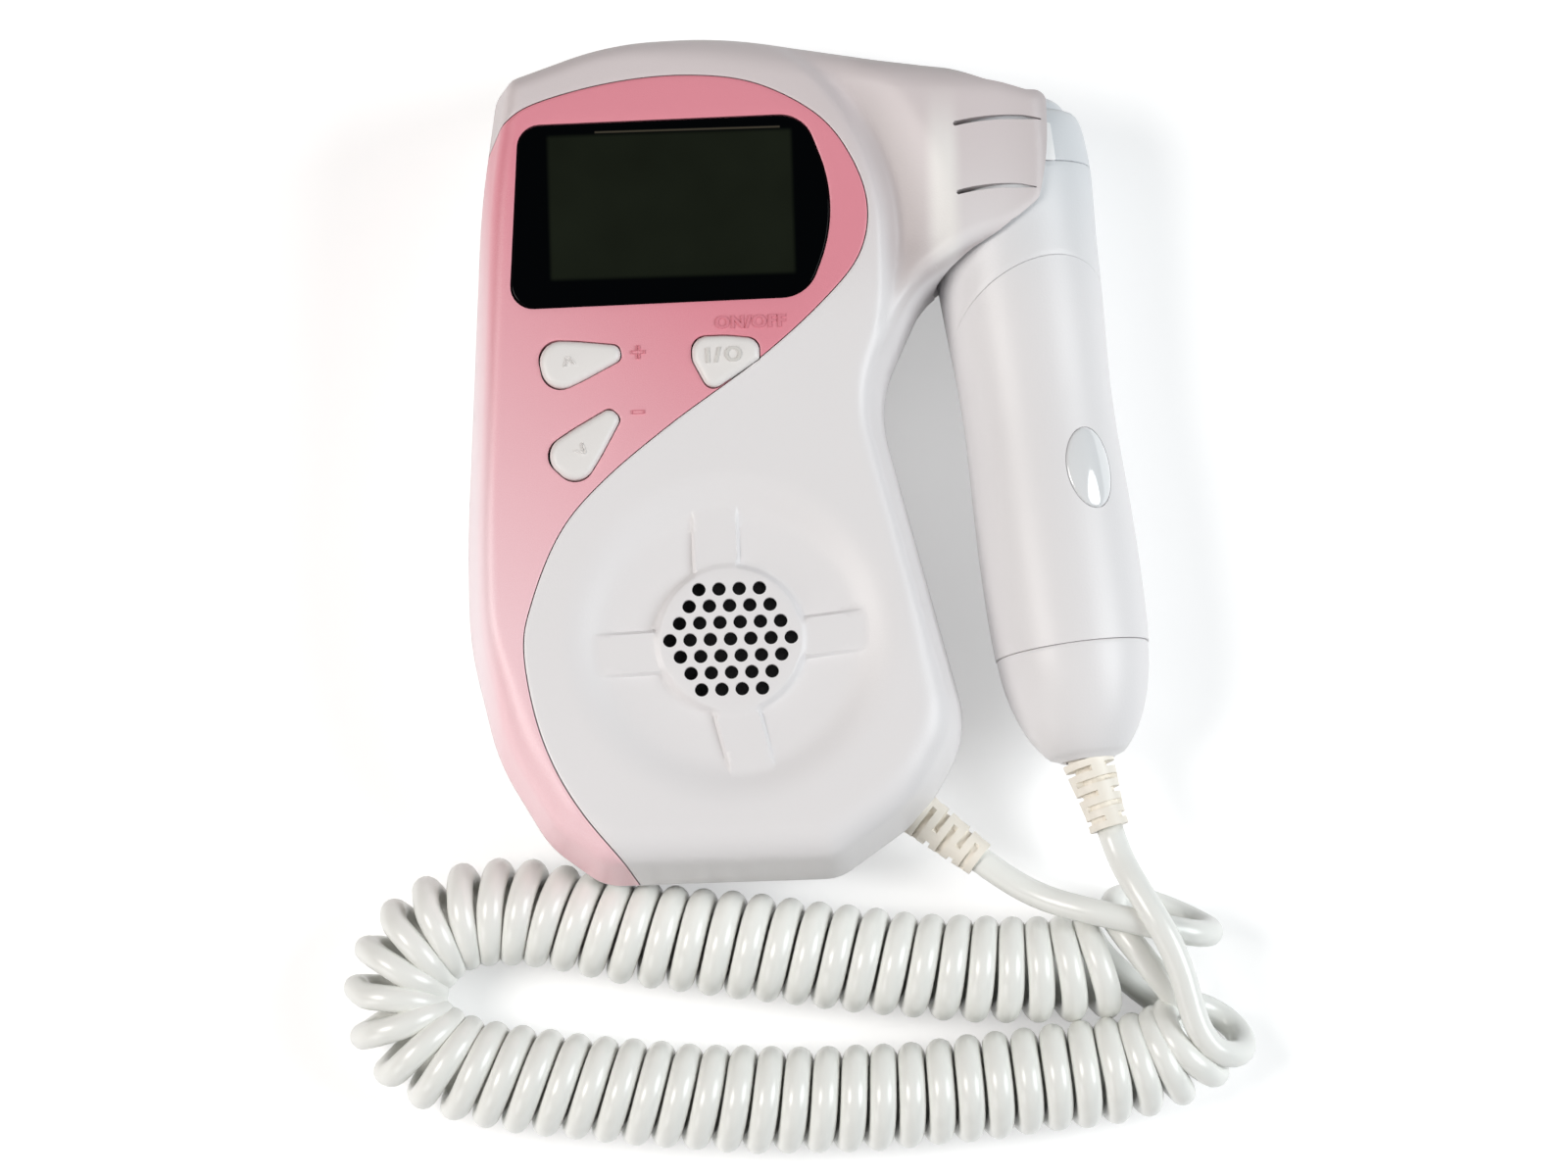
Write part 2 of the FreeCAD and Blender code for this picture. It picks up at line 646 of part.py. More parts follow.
def rear_shell():
    floor = WALL * 0.8
    hollow = rear_form(WALL, floor, 0)
    hollow = hollow.cut(bore_wall())
    x0, y0, x1, y1 = bay_box(1.4)
    roof = bay_top()
    bay = box(x0, y0 - WALL, 0, x1, y1, roof + 1.4)
    inside = box(*bay_box()[:2], -1, *bay_box()[2:], roof)
    ledge = box(x0 - DOOR_LAP - 1.2, y0 - 1.0, 0, x1 + DOOR_LAP + 1.2, y1 + DOOR_LAP + 3.4, DOOR_T + 1.6)
    body = rear_form().cut(hollow)
    columns = [disc(x, y, 1.0, PART_Z, BOSS_R + 0.4) for x, y in BOSSES]
    keep = rear_form(SKIN, SKIN, 0)
    body = fused([body] + [s.common(keep) for s in columns] + [ledge.common(keep)])
    tower = bay.cut(box(-SPAN, -SPAN, PART_Z, SPAN, SPAN, SPAN)).common(keep)
    lid = box(x0, y0, PART_Z - 0.5, x1, y1, roof + 1.4)
    body = fused([body, tower, lid])
    cutters = [inside, door_room(), bore()]
    cutters += [disc(x, y, -1, SINK_Z, HEAD_R + 0.3) for x, y in BOSSES]
    cutters += [disc(x, y, 0, PART_Z + 1, SCREW_R + 0.1) for x, y in BOSSES]
    cutters += [cable_hole(MONITOR_RELIEF_R[0] + GAP), relief_flange(GAP)]
    return body.cut(cutters)


def battery_door():
    x0, y0, x1, y1 = door_box()
    px0, px1, py, pz = hinge_place()
    reach = DOOR_T / 2 + 0.2
    plate = box(x0, y0, 0, x1, py, DOOR_T)
    knuckle = Part.makeCylinder(reach, px1 - px0, V(px0, py, pz), V(1, 0, 0))
    knuckle = knuckle.common(box(x0, y0, 0, x1, y1 + 5, THICK))
    pins = [Part.makeCylinder(PIN_R, PIN_L, V(px0 - PIN_L, py, pz), V(1, 0, 0)),
            Part.makeCylinder(PIN_R, PIN_L, V(px1, py, pz), V(1, 0, 0))]
    middle = (x0 + x1) / 2
    grips = [box(middle - 8 + k * 0.6, y0 + 3 + k * 2, -1, middle + 8 - k * 0.6, y0 + 4 + k * 2, 0.5)
             for k in range(4)]
    return fused([plate, knuckle] + pins).cut(grips)


def battery_cells():
    """Two AA cells, one turned end for end."""
    cells = []
    for x, way in zip(CELL_X, (1, -1)):
        start = CELL_Y if way > 0 else CELL_Y + CELL_L
        body = Part.makeCylinder(CELL_R, CELL_L - CELL_NUB, V(x, start, CELL_Z), V(0, way, 0))
        nub = Part.makeCylinder(2.6, CELL_NUB, V(x, start + way * (CELL_L - CELL_NUB), CELL_Z), V(0, way, 0))
        cells.append(fused([body, nub]))
    return Part.makeCompound(cells)


def battery_plates():
    """Contact plates at both ends of the bay."""
    x0, y0, x1, y1 = bay_box()
    low = DOOR_T + DOOR_GAP + 0.6
    high = bay_top()
    plates = [box(x0, y0, low, x1, y0 + PLATE_T, high), box(x0, y1 - PLATE_T, low, x1, y1, high)]
    return Part.makeCompound(plates)


def battery_springs():
    """A coil spring at the foot of each cell, between the lower plate and the cell."""
    springs = []
    start = CELL_Y - SPRING_L
    pitch = (SPRING_L - 2 * SPRING_WIRE_R) / SPRING_TURNS
    for x in CELL_X:
        helix = Part.makeLongHelix(pitch, pitch * SPRING_TURNS, SPRING_R)
        profile = Part.Wire(Part.makeCircle(SPRING_WIRE_R, V(SPRING_R, 0, 0), V(0, 1, 0)))
        spring = Part.Wire(helix).makePipeShell([profile], True, True)
        spring.rotate(V(0, 0, 0), V(1, 0, 0), -90)
        spring.translate(V(x, start + SPRING_WIRE_R, CELL_Z))
        springs.append(spring)
    return Part.makeCompound(springs)


def case_screws():
    """Pan head screws that come up through the back into the front shell's posts."""
    screws = []
    for x, y in BOSSES:
        head = disc(x, y, SINK_Z - HEAD_H, SINK_Z, HEAD_R)
        shank = disc(x, y, SINK_Z, PART_Z + SCREW_REACH, SCREW_R)
        cross = fused([box(x - 1.2, y - 0.3, 0, x + 1.2, y + 0.3, SINK_Z - HEAD_H + 0.9),
                       box(x - 0.3, y - 1.2, 0, x + 0.3, y + 1.2, SINK_Z - HEAD_H + 0.9)])
        screws.append(fused([head, shank]).cut(cross))
    return Part.makeCompound(screws)


def board_screws():
    low = BOARD_TOP - BOARD_T
    screws = []
    for x, y in BOARD_SCREWS:
        head = disc(x, y, low - BOARD_HEAD_H, low, BOARD_HEAD_R)
        shank = disc(x, y, low, BOARD_TOP + BOARD_SCREW_REACH, BOARD_SCREW_R)
        screws.append(fused([head, shank]))
    return Part.makeCompound(screws)


# ---------------------------------------------------------------- probe
def hollowed(profile, wall=PROBE_WALL):
    """The bore's points for a turned shell."""
    return [(t, max(r - wall, 1.0)) for t, r in profile]


def probe_nose_ring():
    lens_hole = rod(NOSE[-1][0] - LENS_SEAT, NOSE[-1][0] + 5, LENS_R + SEAL_T)
    ring = turned(NOSE, [(NOSE[0][0], NOSE[0][1] - PROBE_WALL), (NOSE[-1][0], LENS_R - 1.4)])
    return ring.cut(lens_hole)


def probe_handle():
    """Head and barrel in one, before the slanting joint parts them."""
    profile = BARREL + HEAD[1:]
    return turned(profile, hollowed(profile))


def above_seam():
    """The half of space on the nose side of the slanting joint."""
    turn = math.radians(SEAM_TURN)
    lean = math.radians(SEAM_LEAN)
    high_side = AXIS_SIDE * math.sin(turn) + V(0, 0, math.cos(turn))
    normal = AXIS_DIR * math.cos(lean) - high_side * math.sin(lean)
    half = Part.makeBox(2 * SPAN, 2 * SPAN, SPAN, V(-SPAN, -SPAN, 0))
    half.Placement = FreeCAD.Placement(on_axis(SEAM_T), FreeCAD.Rotation(V(0, 0, 1), normal))
    return half


def probe_head():
    return probe_handle().common(above_seam())


def badge_blank():
    """An oval prism that points out of the barrel where the badge sits."""
    face = Part.Face(Part.Wire(Part.Ellipse(V(0, 0, 0), BADGE_LONG, BADGE_SHORT).toShape()))
    blank = face.extrude(V(0, 0, 2 * BARREL[0][1]))
    blank.rotate(V(0, 0, 0), V(0, 0, 1), 90)
    blank.rotate(V(0, 0, 0), V(0, 1, 0), BADGE_ANGLE)
    blank.rotate(V(0, 0, 0), V(0, 0, 1), AXIS_TILT)
    blank.translate(on_axis(BADGE_T))
    return blank


def lifted(profile, by):
    return [(t, r + by) for t, r in profile]


def probe_barrel():
    barrel = probe_handle().cut(above_seam())
    recess = turned(lifted(BARREL, 2.0), lifted(BARREL, -0.4)).common(badge_blank())
    return barrel.cut(recess)


def probe_badge():
    return turned(lifted(BARREL, BADGE_RISE), lifted(BARREL, -0.4)).common(badge_blank())


def probe_tail_cap():
    cap = turned(TAIL, [(t, max(r - PROBE_WALL, CABLE_HOLE_R + 1.2)) for t, r in TAIL])
    end = V(*PROBE_RELIEF_END)
    seat = relief_blank(PROBE_EXIT, end, (PROBE_RELIEF_R[0] + 0.05,) * 2)
    neck = relief_blank(PROBE_EXIT, end, (CABLE_HOLE_R + 0.95,) * 2, 4.0)
    return cap.cut([seat, neck])


def acoustic_lens():
    """A shallow dome with a flat foot that the seal holds."""
    seat = NOSE[-1][0] - LENS_SEAT
    rim = NOSE[-1][0] + LENS_RISE
    crown = rim + LENS_DOME
    ball_r = (LENS_R ** 2 + LENS_DOME ** 2) / (2 * LENS_DOME)
    half = math.asin(LENS_R / ball_r) / 2
    middle = on_axis(crown - ball_r * (1 - math.cos(half)), ball_r * math.sin(half))
    arch = Part.Arc(on_axis(rim, LENS_R), middle, on_axis(crown)).toShape()
    rest = Part.makePolygon([on_axis(crown), on_axis(seat), on_axis(seat, LENS_R), on_axis(rim, LENS_R)])
    return Part.Face(Part.Wire([arch] + rest.Edges)).revolve(AXIS_FOOT, AXIS_DIR, 360)


def lens_seal():
    top = NOSE[-1][0]
    return rod(top - LENS_SEAT, top, LENS_R + SEAL_T).cut(rod(top - 3, top + 3, LENS_R))


def transducer_crystals():
    """A ring of thin discs that send and receive, against the back of the lens."""
    top = NOSE[-1][0] - LENS_SEAT
    discs = []
    for k in range(CRYSTALS):
        angle = 2 * math.pi * k / CRYSTALS
        spot = on_axis(top - CRYSTAL_T, CRYSTAL_RING * math.cos(angle), CRYSTAL_RING * math.sin(angle))
        discs.append(Part.makeCylinder(CRYSTAL_R, CRYSTAL_T, spot, AXIS_DIR))
    return Part.makeCompound(discs)


def damping_block():
    top = NOSE[-1][0] - LENS_SEAT - CRYSTAL_T
    return rod(top - BACKING_T, top, LENS_R - 1.5)


def probe_board():
    top = NOSE[-1][0] - LENS_SEAT - CRYSTAL_T - BACKING_T
    board = Part.makeBox(PROBE_BOARD_W, top - PROBE_BOARD_START, BOARD_T)
    board.translate(V(-PROBE_BOARD_W / 2, PROBE_BOARD_START, -BOARD_T / 2))
    board.rotate(V(0, 0, 0), V(0, 0, 1), AXIS_TILT)
    board.translate(AXIS_FOOT)
    return board


# ---------------------------------------------------------------- strain reliefs and lead
def relief_blank(start, end, radii, before=0.0):
    """A cone from start to end, begun a little earlier at its full radius."""
    way = end - start
    length = way.Length
    way.normalize()
    cone = Part.makeCylinder(radii[0], length, start, way)
    if abs(radii[0] - radii[1]) > 1e-6:
        cone = Part.makeCone(radii[0], radii[1], length, start, way)
    if before:
        cone = fused([cone, Part.makeCylinder(radii[0], before, start - way * before, way)])
    return cone


def slotted(solid, start, end, core):
    """Cut the cross slots that let a strain relief bend, on alternate sides."""
    way = end - start
    length = way.Length
    way.normalize()
    pitch = length / (RELIEF_SLOTS + 0.5)
    kept = Part.makeCylinder(core, 2 * length, start - way * (length / 2), way)
    wide = 2 * (MONITOR_RELIEF_R[0] + PROBE_RELIEF_R[0])
    for k in range(RELIEF_SLOTS):
        ring_start = start + way * (pitch * (k + 0.55))
        ring = Part.makeCylinder(wide / 2, pitch * 0.42, ring_start, way).cut(kept)
        bridge = Part.makeBox(RELIEF_BRIDGE, wide, wide, V(-RELIEF_BRIDGE / 2, -wide / 2, -wide / 2))
        quarter = FreeCAD.Rotation(V(0, 0, 1), 90 * (k % 2))
        turn = FreeCAD.Rotation(V(0, 0, 1), way).multiply(quarter)
        bridge.Placement = FreeCAD.Placement(ring_start, turn)
        solid = solid.cut(ring.cut(bridge))
    return solid


def monitor_strain_relief():
    start, end = V(*MONITOR_EXIT), V(*MONITOR_RELIEF_END)
    relief = fused([relief_blank(start, end, MONITOR_RELIEF_R), relief_flange()])
    way = (end - start).normalize()
    return slotted(relief, start + way * 3.4, end, RELIEF_CORE)


def probe_strain_relief():
    end = V(*PROBE_RELIEF_END)
    relief = relief_blank(PROBE_EXIT, end, PROBE_RELIEF_R)
    neck = relief_blank(PROBE_EXIT, end, (CABLE_HOLE_R + 0.9,) * 2, 3.0)
    relief = fused([relief, neck])
    return slotted(relief, PROBE_EXIT, end, RELIEF_CORE)


def tube(points, radius, name):
    """A round tube along straight runs joined by tangent arcs as large as the runs allow."""
    edges = []
    here = points[0]
    length = 0.0
    for k in range(1, len(points) - 1):
        before = points[k] - points[k - 1]
        after = points[k + 1] - points[k]
        shorter = min(before.Length, after.Length)
        turn = math.acos(max(-1.0, min(1.0, before.dot(after) / before.Length / after.Length)))
        bend = 0.45 * shorter / math.tan(turn / 2)
        print(name, "bend", k, "radius", round(bend, 1), "turn", round(math.degrees(turn), 1))
        before.normalize()
        after.normalize()
        reach = 0.45 * shorter
        first = points[k] - before * reach
        last = points[k] + after * reach
        middle = points[k] + (after - before).normalize() * bend * (1 / math.cos(turn / 2) - 1)
        edges.append(Part.makeLine(here, first))
        edges.append(Part.Arc(first, middle, last).toShape())
        length += (first - here).Length + bend * turn
        here = last
    edges.append(Part.makeLine(here, points[-1]))
    length += (points[-1] - here).Length
    way = (points[1] - points[0]).normalize()
    profile = Part.Wire(Part.makeCircle(radius, points[0], way))
    solid = Part.Wire(edges).makePipeShell([profile], True, False)
    ratio = solid.Volume / (math.pi * radius * radius * length)
    print(name, "length", round(length, 1), "volume over section times length", round(ratio, 4))
    return solid


def cord_lead_monitor():
    return tube([V(*p) for p in MONITOR_ROUTE], CORD_D / 2, "monitor lead")


def cord_coil():
    return tube([V(x, y, COIL_R) for x, y in COIL_ROUTE], COIL_R, "coil")


def cord_lead_probe():
    return tube([V(*p) for p in PROBE_ROUTE], CORD_D / 2, "probe lead")


# ---------------------------------------------------------------- pieces
PIECES = {
    "rear_shell": rear_shell,
    "front_shell": front_shell,
    "pink_fascia": pink_fascia,
    "display_window": display_window,
    "lcd_panel": lcd_panel,
    "lcd_frame": lcd_frame,
    "main_board": main_board,
    "tact_switches": tact_switches,
    "volume_up_key": lambda: key_cap(drop(VOLUME_UP)),
    "volume_up_stem": lambda: key_stem(drop(VOLUME_UP)),
    "volume_down_key": lambda: key_cap(drop(VOLUME_DOWN)),
    "volume_down_stem": lambda: key_stem(drop(VOLUME_DOWN)),
    "power_key": lambda: key_cap(POWER),
    "power_stem": lambda: key_stem(POWER),
    "speaker_gasket": speaker_gasket,
    "speaker_frame": speaker_frame,
    "speaker_cone": speaker_cone,
    "speaker_magnet": speaker_magnet,
    "battery_door": battery_door,
    "battery_cells": battery_cells,
    "battery_plates": battery_plates,
    "battery_springs": battery_springs,
    "case_screws": case_screws,
    "board_screws": board_screws,
    "probe_nose_ring": probe_nose_ring,
    "probe_head": probe_head,
    "probe_barrel": probe_barrel,
    "probe_badge": probe_badge,
    "probe_tail_cap": probe_tail_cap,
    "acoustic_lens": acoustic_lens,
    "lens_seal": lens_seal,
    "transducer_crystals": transducer_crystals,
    "damping_block": damping_block,
    "probe_board": probe_board,
    "monitor_strain_relief": monitor_strain_relief,
    "probe_strain_relief": probe_strain_relief,
    "cord_lead_monitor": cord_lead_monitor,
    "cord_coil": cord_coil,
    "cord_lead_probe": cord_lead_probe,
}

os.makedirs("parts", exist_ok=True)
for node, make in PIECES.items():
    shape = make()
    kinds = (len(shape.Solids), shape.isValid(), round(shape.Volume, 1))
    print(node, "solids %d valid %s volume %.1f" % kinds)
    shape.exportStep("parts/%s.step" % node)
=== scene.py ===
# %% [markdown]
# # A hand-held fetal heart monitor
#
# The monitor lies on its back on a pale table. X runs to the right, Y towards the display end and Z up
# out of its face. The frame brings the engineering solids, one object for each part, and this script
# gives them their finished shapes and surfaces. Lengths are written in millimetres and turned into
# metres by one helper, because the real drawings are in millimetres too.

# %% Load the frame
import bpy
import bmesh
import math
from mathutils import Matrix, Vector
from mathutils.geometry import delaunay_2d_cdt
from mathutils.kdtree import KDTree


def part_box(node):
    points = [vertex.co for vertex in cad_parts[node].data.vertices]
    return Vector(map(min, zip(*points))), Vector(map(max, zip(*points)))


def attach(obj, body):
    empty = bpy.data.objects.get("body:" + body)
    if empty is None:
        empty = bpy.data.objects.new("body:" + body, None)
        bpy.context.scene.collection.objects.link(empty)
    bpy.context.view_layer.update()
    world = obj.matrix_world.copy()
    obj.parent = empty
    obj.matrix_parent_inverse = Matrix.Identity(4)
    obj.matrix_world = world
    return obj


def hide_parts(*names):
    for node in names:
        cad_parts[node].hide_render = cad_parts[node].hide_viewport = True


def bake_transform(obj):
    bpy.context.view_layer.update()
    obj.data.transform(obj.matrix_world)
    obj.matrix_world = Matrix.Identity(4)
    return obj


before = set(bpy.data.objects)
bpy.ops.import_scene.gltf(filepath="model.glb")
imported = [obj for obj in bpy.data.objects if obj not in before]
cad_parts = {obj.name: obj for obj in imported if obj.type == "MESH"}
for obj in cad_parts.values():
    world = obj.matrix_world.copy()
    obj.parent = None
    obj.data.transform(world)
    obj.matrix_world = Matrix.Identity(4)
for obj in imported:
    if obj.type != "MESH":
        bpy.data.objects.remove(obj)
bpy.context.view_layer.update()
MM = 0.001


def mm(*values):
    """A point given in millimetres, as a vector in metres."""
    return Vector(values) * MM


def new_object(name, data):
    """An object for some data, linked into the scene."""
    item = bpy.data.objects.new(name, data)
    bpy.context.collection.objects.link(item)
    return item


# %% [markdown]
# ## Where the camera stands
#
# A small product is usually pictured from far away with a long lens, so that its sides hardly show.
# The camera is placed by the three directions of its picture: right, up, and back towards the eye.
# Written as the columns of a matrix they give the turn exactly, with no guessing of angles.

# %% Camera
LENS_MM = 136.3636
SENSOR_MM = 36
CAMERA_AT = mm(-4.2, -164.629, 1006.777)
PICTURE_RIGHT = (0.99950656, -0.03108962, -0.00448008)
PICTURE_UP = (0.03141076, 0.98928784, 0.14255855)
PICTURE_BACK = (0.0, -0.14263, 0.98978)

camera_data = bpy.data.cameras.new("long_lens")
camera_data.lens = LENS_MM
camera_data.sensor_width = SENSOR_MM
camera_data.clip_end = 20
camera = new_object("camera", camera_data)
turn = Matrix((PICTURE_RIGHT, PICTURE_UP, PICTURE_BACK)).transposed()
camera.matrix_world = Matrix.Translation(CAMERA_AT) @ turn.to_4x4()
bpy.context.scene.camera = camera
print("camera", [round(v, 3) for v in camera.location])

# %% [markdown]
# ## The curly lead
#
# A curly lead is a straight lead wound on a rod and baked, so it is a helix wherever it goes. Its axis
# is a smooth spline through a few listed points. The helix follows the points that Blender reads
# from that spline, and it is itself one long NURBS curve with a round bevel. An array of rings along
# a curve would be quicker, but rings never join into one cord.

# %% Routes of the lead
CORD_R = 2.25
MONITOR_ROUTE = [(27.2, -68.6, 14.0), (31.2, -71.84, 14.0), (37.6, -75.6, 15.0), (44.0, -77.8, 17.4),
                 (50.4, -79.6, 18.4), (57.0, -81.2, 17.6), (63.0, -82.4, 15.4), (66.4, -81.8, 9.6),
                 (63.6, -79.2, 3.4), (56.6, -75.8, 2.6), (50.2, -74.4, 6.0), (48.8, -78.4, 12.2),
                 (52.6, -84.4, 15.2), (57.6, -90.6, 13.4), (60.2, -94.0, 8.4), (58.8, -94.0, 3.5),
                 (54.8, -91.2, 2.2), (50.6, -87.4, 2.2)]
COIL_ROUTE = [(48.6, -86.4), (44.0, -87.0), (34.0, -87.0), (20.0, -86.2), (4.0, -84.0), (-12.6, -81.4),
              (-28.0, -79.4), (-40.0, -76.6), (-50.0, -74.2), (-60.5, -74.6), (-68.4, -79.4),
              (-72.2, -87.2), (-70.6, -94.6), (-63.4, -100.0), (-51.0, -102.8), (-34.0, -105.2),
              (-14.0, -107.4), (8.0, -107.8), (24.0, -106.6), (38.0, -105.2), (50.0, -104.2),
              (58.0, -102.2), (62.3, -99.6), (65.6, -96.6)]
PROBE_ROUTE = [(62.4, -98.0, 16.8), (61.3, -94.3, 17.8), (60.2, -89.6, 19.0), (58.4, -84.6, 20.2),
               (55.6, -79.3, 20.6), (52.6, -73.9, 19.4), (50.2, -68.64, 17.0), (49.0, -64.3, 17.0)]
COIL_HEIGHT = 9.0
TURN_R = 6.75


def nurbs_curve(name, points, bevel=0.0):
    """One open NURBS spline with these points, in millimetres, as its control points."""
    data = bpy.data.curves.new(name, "CURVE")
    data.dimensions = "3D"
    spline = data.splines.new("NURBS")
    spline.points.add(len(points) - 1)
    for slot, point in zip(spline.points, points):
        slot.co = (*mm(*point), 1.0)
    spline.order_u = 3
    spline.use_endpoint_u = True
    spline.resolution_u = 4
    data.bevel_depth = bevel * MM
    data.bevel_resolution = 6
    data.use_fill_caps = bevel > 0
    return new_object(name, data)


def read_line(item):
    """The points that Blender makes of a curve, in millimetres."""
    bevel = item.data.bevel_depth
    item.data.bevel_depth = 0.0
    bpy.context.view_layer.update()
    line = bpy.data.meshes.new_from_object(item)
    item.data.bevel_depth = bevel
    points = [v.co / MM for v in line.vertices]
    bpy.data.meshes.remove(line)
    return points


def walk(points):
    """Distance along a line of points at each of them."""
    marks = [0.0]
    for a, b in zip(points, points[1:]):
        marks.append(marks[-1] + (b - a).length)
    return marks


print("routes of", len(MONITOR_ROUTE), "+", len(COIL_ROUTE), "+", len(PROBE_ROUTE), "points")

# %% [markdown]
# Two small readers come first. One gives the place and the direction at some distance along a line of
# points, and that is how a helix can follow its axis. The other reads a short table of hand-set values
# smoothly, because straight steps between the values would show as kinks in a shiny surface.

# %% Reading a line and a table
def point_at(points, marks, distance):
    """The point, and the direction there, at a distance along a line of points."""
    distance = min(max(distance, 0.0), marks[-1])
    k = 0
    while k < len(marks) - 2 and marks[k + 1] < distance:
        k += 1
    step = marks[k + 1] - marks[k]
    share = (distance - marks[k]) / step
    return points[k].lerp(points[k + 1], share), (points[k + 1] - points[k]).normalized()


def smooth_step(x):
    """A soft 0 to 1, with level ends."""
    x = min(max(x, 0.0), 1.0)
    return x * x * (3 - 2 * x)


def eased(table, x):
    """A smooth reading of a short table of (x, value) pairs."""
    for k in range(len(table) - 1):
        (x0, v0), (x1, v1) = table[k], table[k + 1]
        if x <= x1:
            before = table[k - 1] if k else table[k]
            after = table[k + 2] if k + 2 < len(table) else table[k + 1]
            m0 = (v1 - before[1]) / (x1 - before[0]) if k else 0.0
            m1 = (after[1] - v0) / (after[0] - x0) if k + 2 < len(table) else 0.0
            h = x1 - x0
            t = (x - x0) / h
            return (v0 * (1 + 2 * t) * (1 - t) ** 2 + m0 * h * t * (1 - t) ** 2
                    + v1 * t * t * (3 - 2 * t) + m1 * h * t * t * (t - 1))
    return table[-1][1]


print("a smooth step at a quarter is", smooth_step(0.25))

# %% [markdown]
# A pulled curly lead doesn't lie square to its axis: its turns lean one way in the straight rows and
# stand open at the ends. A short table says how much they lean on the way along the coil, and a second
# one how far the last ring opens towards the eye. Turns set one by one would collide, a table can't jump.

# %% Helix round the spine
TURNS = 56.44
STEPS_PER_TURN = 16
FIRST_ANGLE = 0.69          # in turns, where the helix takes over from the monitor's end
LEAN = [(0.0, -0.36), (0.03, -0.24), (0.06, -0.12), (0.1, -0.03), (0.2, 0.0), (0.36, 0.02), (0.46, 0.05),
        (0.56, 0.12), (0.64, 0.06), (0.72, -0.02), (0.8, -0.06), (0.86, -0.1), (0.91, -0.14), (0.96, -0.16),
        (1.0, -0.1)]
OPENING = [(0.0, 0.0), (0.93, 0.0), (0.965, 0.22), (1.0, 0.68)]

spine_curve = nurbs_curve("coil_spine", [(x, y, COIL_HEIGHT) for x, y in COIL_ROUTE])
spine = read_line(spine_curve)
bpy.data.objects.remove(spine_curve)
spine_marks = walk(spine)


def helix_points():
    """Control points of the helix. The curve runs inside them, so they stand a little further out."""
    points = []
    count = int(TURNS * STEPS_PER_TURN)
    radius = TURN_R / (0.75 + 0.25 * math.cos(2 * math.pi / STEPS_PER_TURN))
    for step in range(count):
        share = step / (count - 1)
        centre, along = point_at(spine, spine_marks, share * spine_marks[-1])
        side = Vector((along.y, -along.x, 0)).normalized()
        angle = 2 * math.pi * (FIRST_ANGLE - step / STEPS_PER_TURN)
        wobble = 1 + 0.012 * math.sin(share * 91) + 0.01 * math.sin(share * 37)
        out = side * math.cos(angle) * -1 + Vector((0, 0, 1)) * math.sin(angle)
        shift = along * (TURN_R * (eased(LEAN, share) * math.cos(angle)
                                   - eased(OPENING, share) * math.sin(angle)))
        points.append(centre + out * (radius * wobble) + shift)
    return points


helix = helix_points()
print("spine", round(spine_marks[-1], 1), "mm,", len(helix), "helix points")

# %% [markdown]
# The lead is one cord between two things that move apart, so it is two pieces that meet out of sight under
# the coil. The long one lies still with the monitor. The short one runs to the probe, and it is turned
# into a mesh. A hook on the curve could pull it, but only inside Blender.

# %% The two pieces of the lead
SPLIT = 52 * STEPS_PER_TURN - 1        # the helix point after which the short piece begins
middle = (helix[SPLIT - 1] + helix[SPLIT]) / 2
monitor_line = [Vector(p) for p in MONITOR_ROUTE] + helix[:SPLIT] + [middle]
probe_line = [middle] + helix[SPLIT:] + [Vector(p) for p in PROBE_ROUTE]

lead_from_monitor = nurbs_curve("curly_lead", monitor_line, CORD_R)
monitor_path = read_line(lead_from_monitor)
probe_curve = nurbs_curve("probe_spline", probe_line, CORD_R)
probe_path = read_line(probe_curve)
print("lead lengths in mm", round(walk(monitor_path)[-1]), round(walk(probe_path)[-1]))


def join_points(data, apart, outwards=False):
    """Makes one point of those that coincide, and can turn all faces outwards."""
    work = bmesh.new()
    work.from_mesh(data)
    bmesh.ops.remove_doubles(work, verts=work.verts, dist=apart * MM)
    if outwards:
        bmesh.ops.recalc_face_normals(work, faces=work.faces)
    work.to_mesh(data)
    work.free()


tube = bpy.data.meshes.new_from_object(probe_curve)
tube.name = "curly_lead_end"
join_points(tube, 0.001)
bpy.data.objects.remove(probe_curve)
lead_to_probe = new_object("curly_lead_end", tube)
print("the short piece has", len(tube.vertices), "points")

# %% [markdown]
# ## Meshes and nodes
#
# Nearly all that follows is a mesh made from its corner points, or a material made of nodes. The shader
# editor shows nodes as boxes and wires. Here each one is a line that names its inputs, and a number, a
# colour or another node's output may stand there alike.

# %% Meshes, materials and nodes
def mesh_object(name, vertices, faces, smooth=True):
    """A mesh from vertices in millimetres."""
    data = bpy.data.meshes.new(name)
    data.from_pydata([mm(*v) for v in vertices], [], faces)
    data.update()
    data.polygons.foreach_set("use_smooth", [smooth] * len(data.polygons))
    return new_object(name, data)


def new_material(name):
    """A fresh material, its node tree and its shader."""
    material = bpy.data.materials.new(name)
    material.use_nodes = True
    return material, material.node_tree, material.node_tree.nodes["Principled BSDF"]


def set_inputs(tree, node, inputs):
    """Gives each input its plain value, or a link to another node's socket. A colour has 3 values."""
    for socket, value in inputs.items():
        if isinstance(value, bpy.types.NodeSocket):
            tree.links.new(value, node.inputs[socket])
        else:
            node.inputs[socket].default_value = (*value, 1) if isinstance(value, tuple) else value


def add_node(tree, kind, inputs, **settings):
    """A shader node of some kind, with its settings and its inputs."""
    node = tree.nodes.new("ShaderNode" + kind)
    for name, value in settings.items():
        setattr(node, name, value)
    set_inputs(tree, node, inputs)
    return node


def arithmetic(tree, operation, *values):
    """One Math node on sockets and numbers."""
    return add_node(tree, "Math", dict(enumerate(values)), operation=operation).outputs[0]


print("helpers for", [made.__name__ for made in (mesh_object, new_material, add_node, arithmetic)])

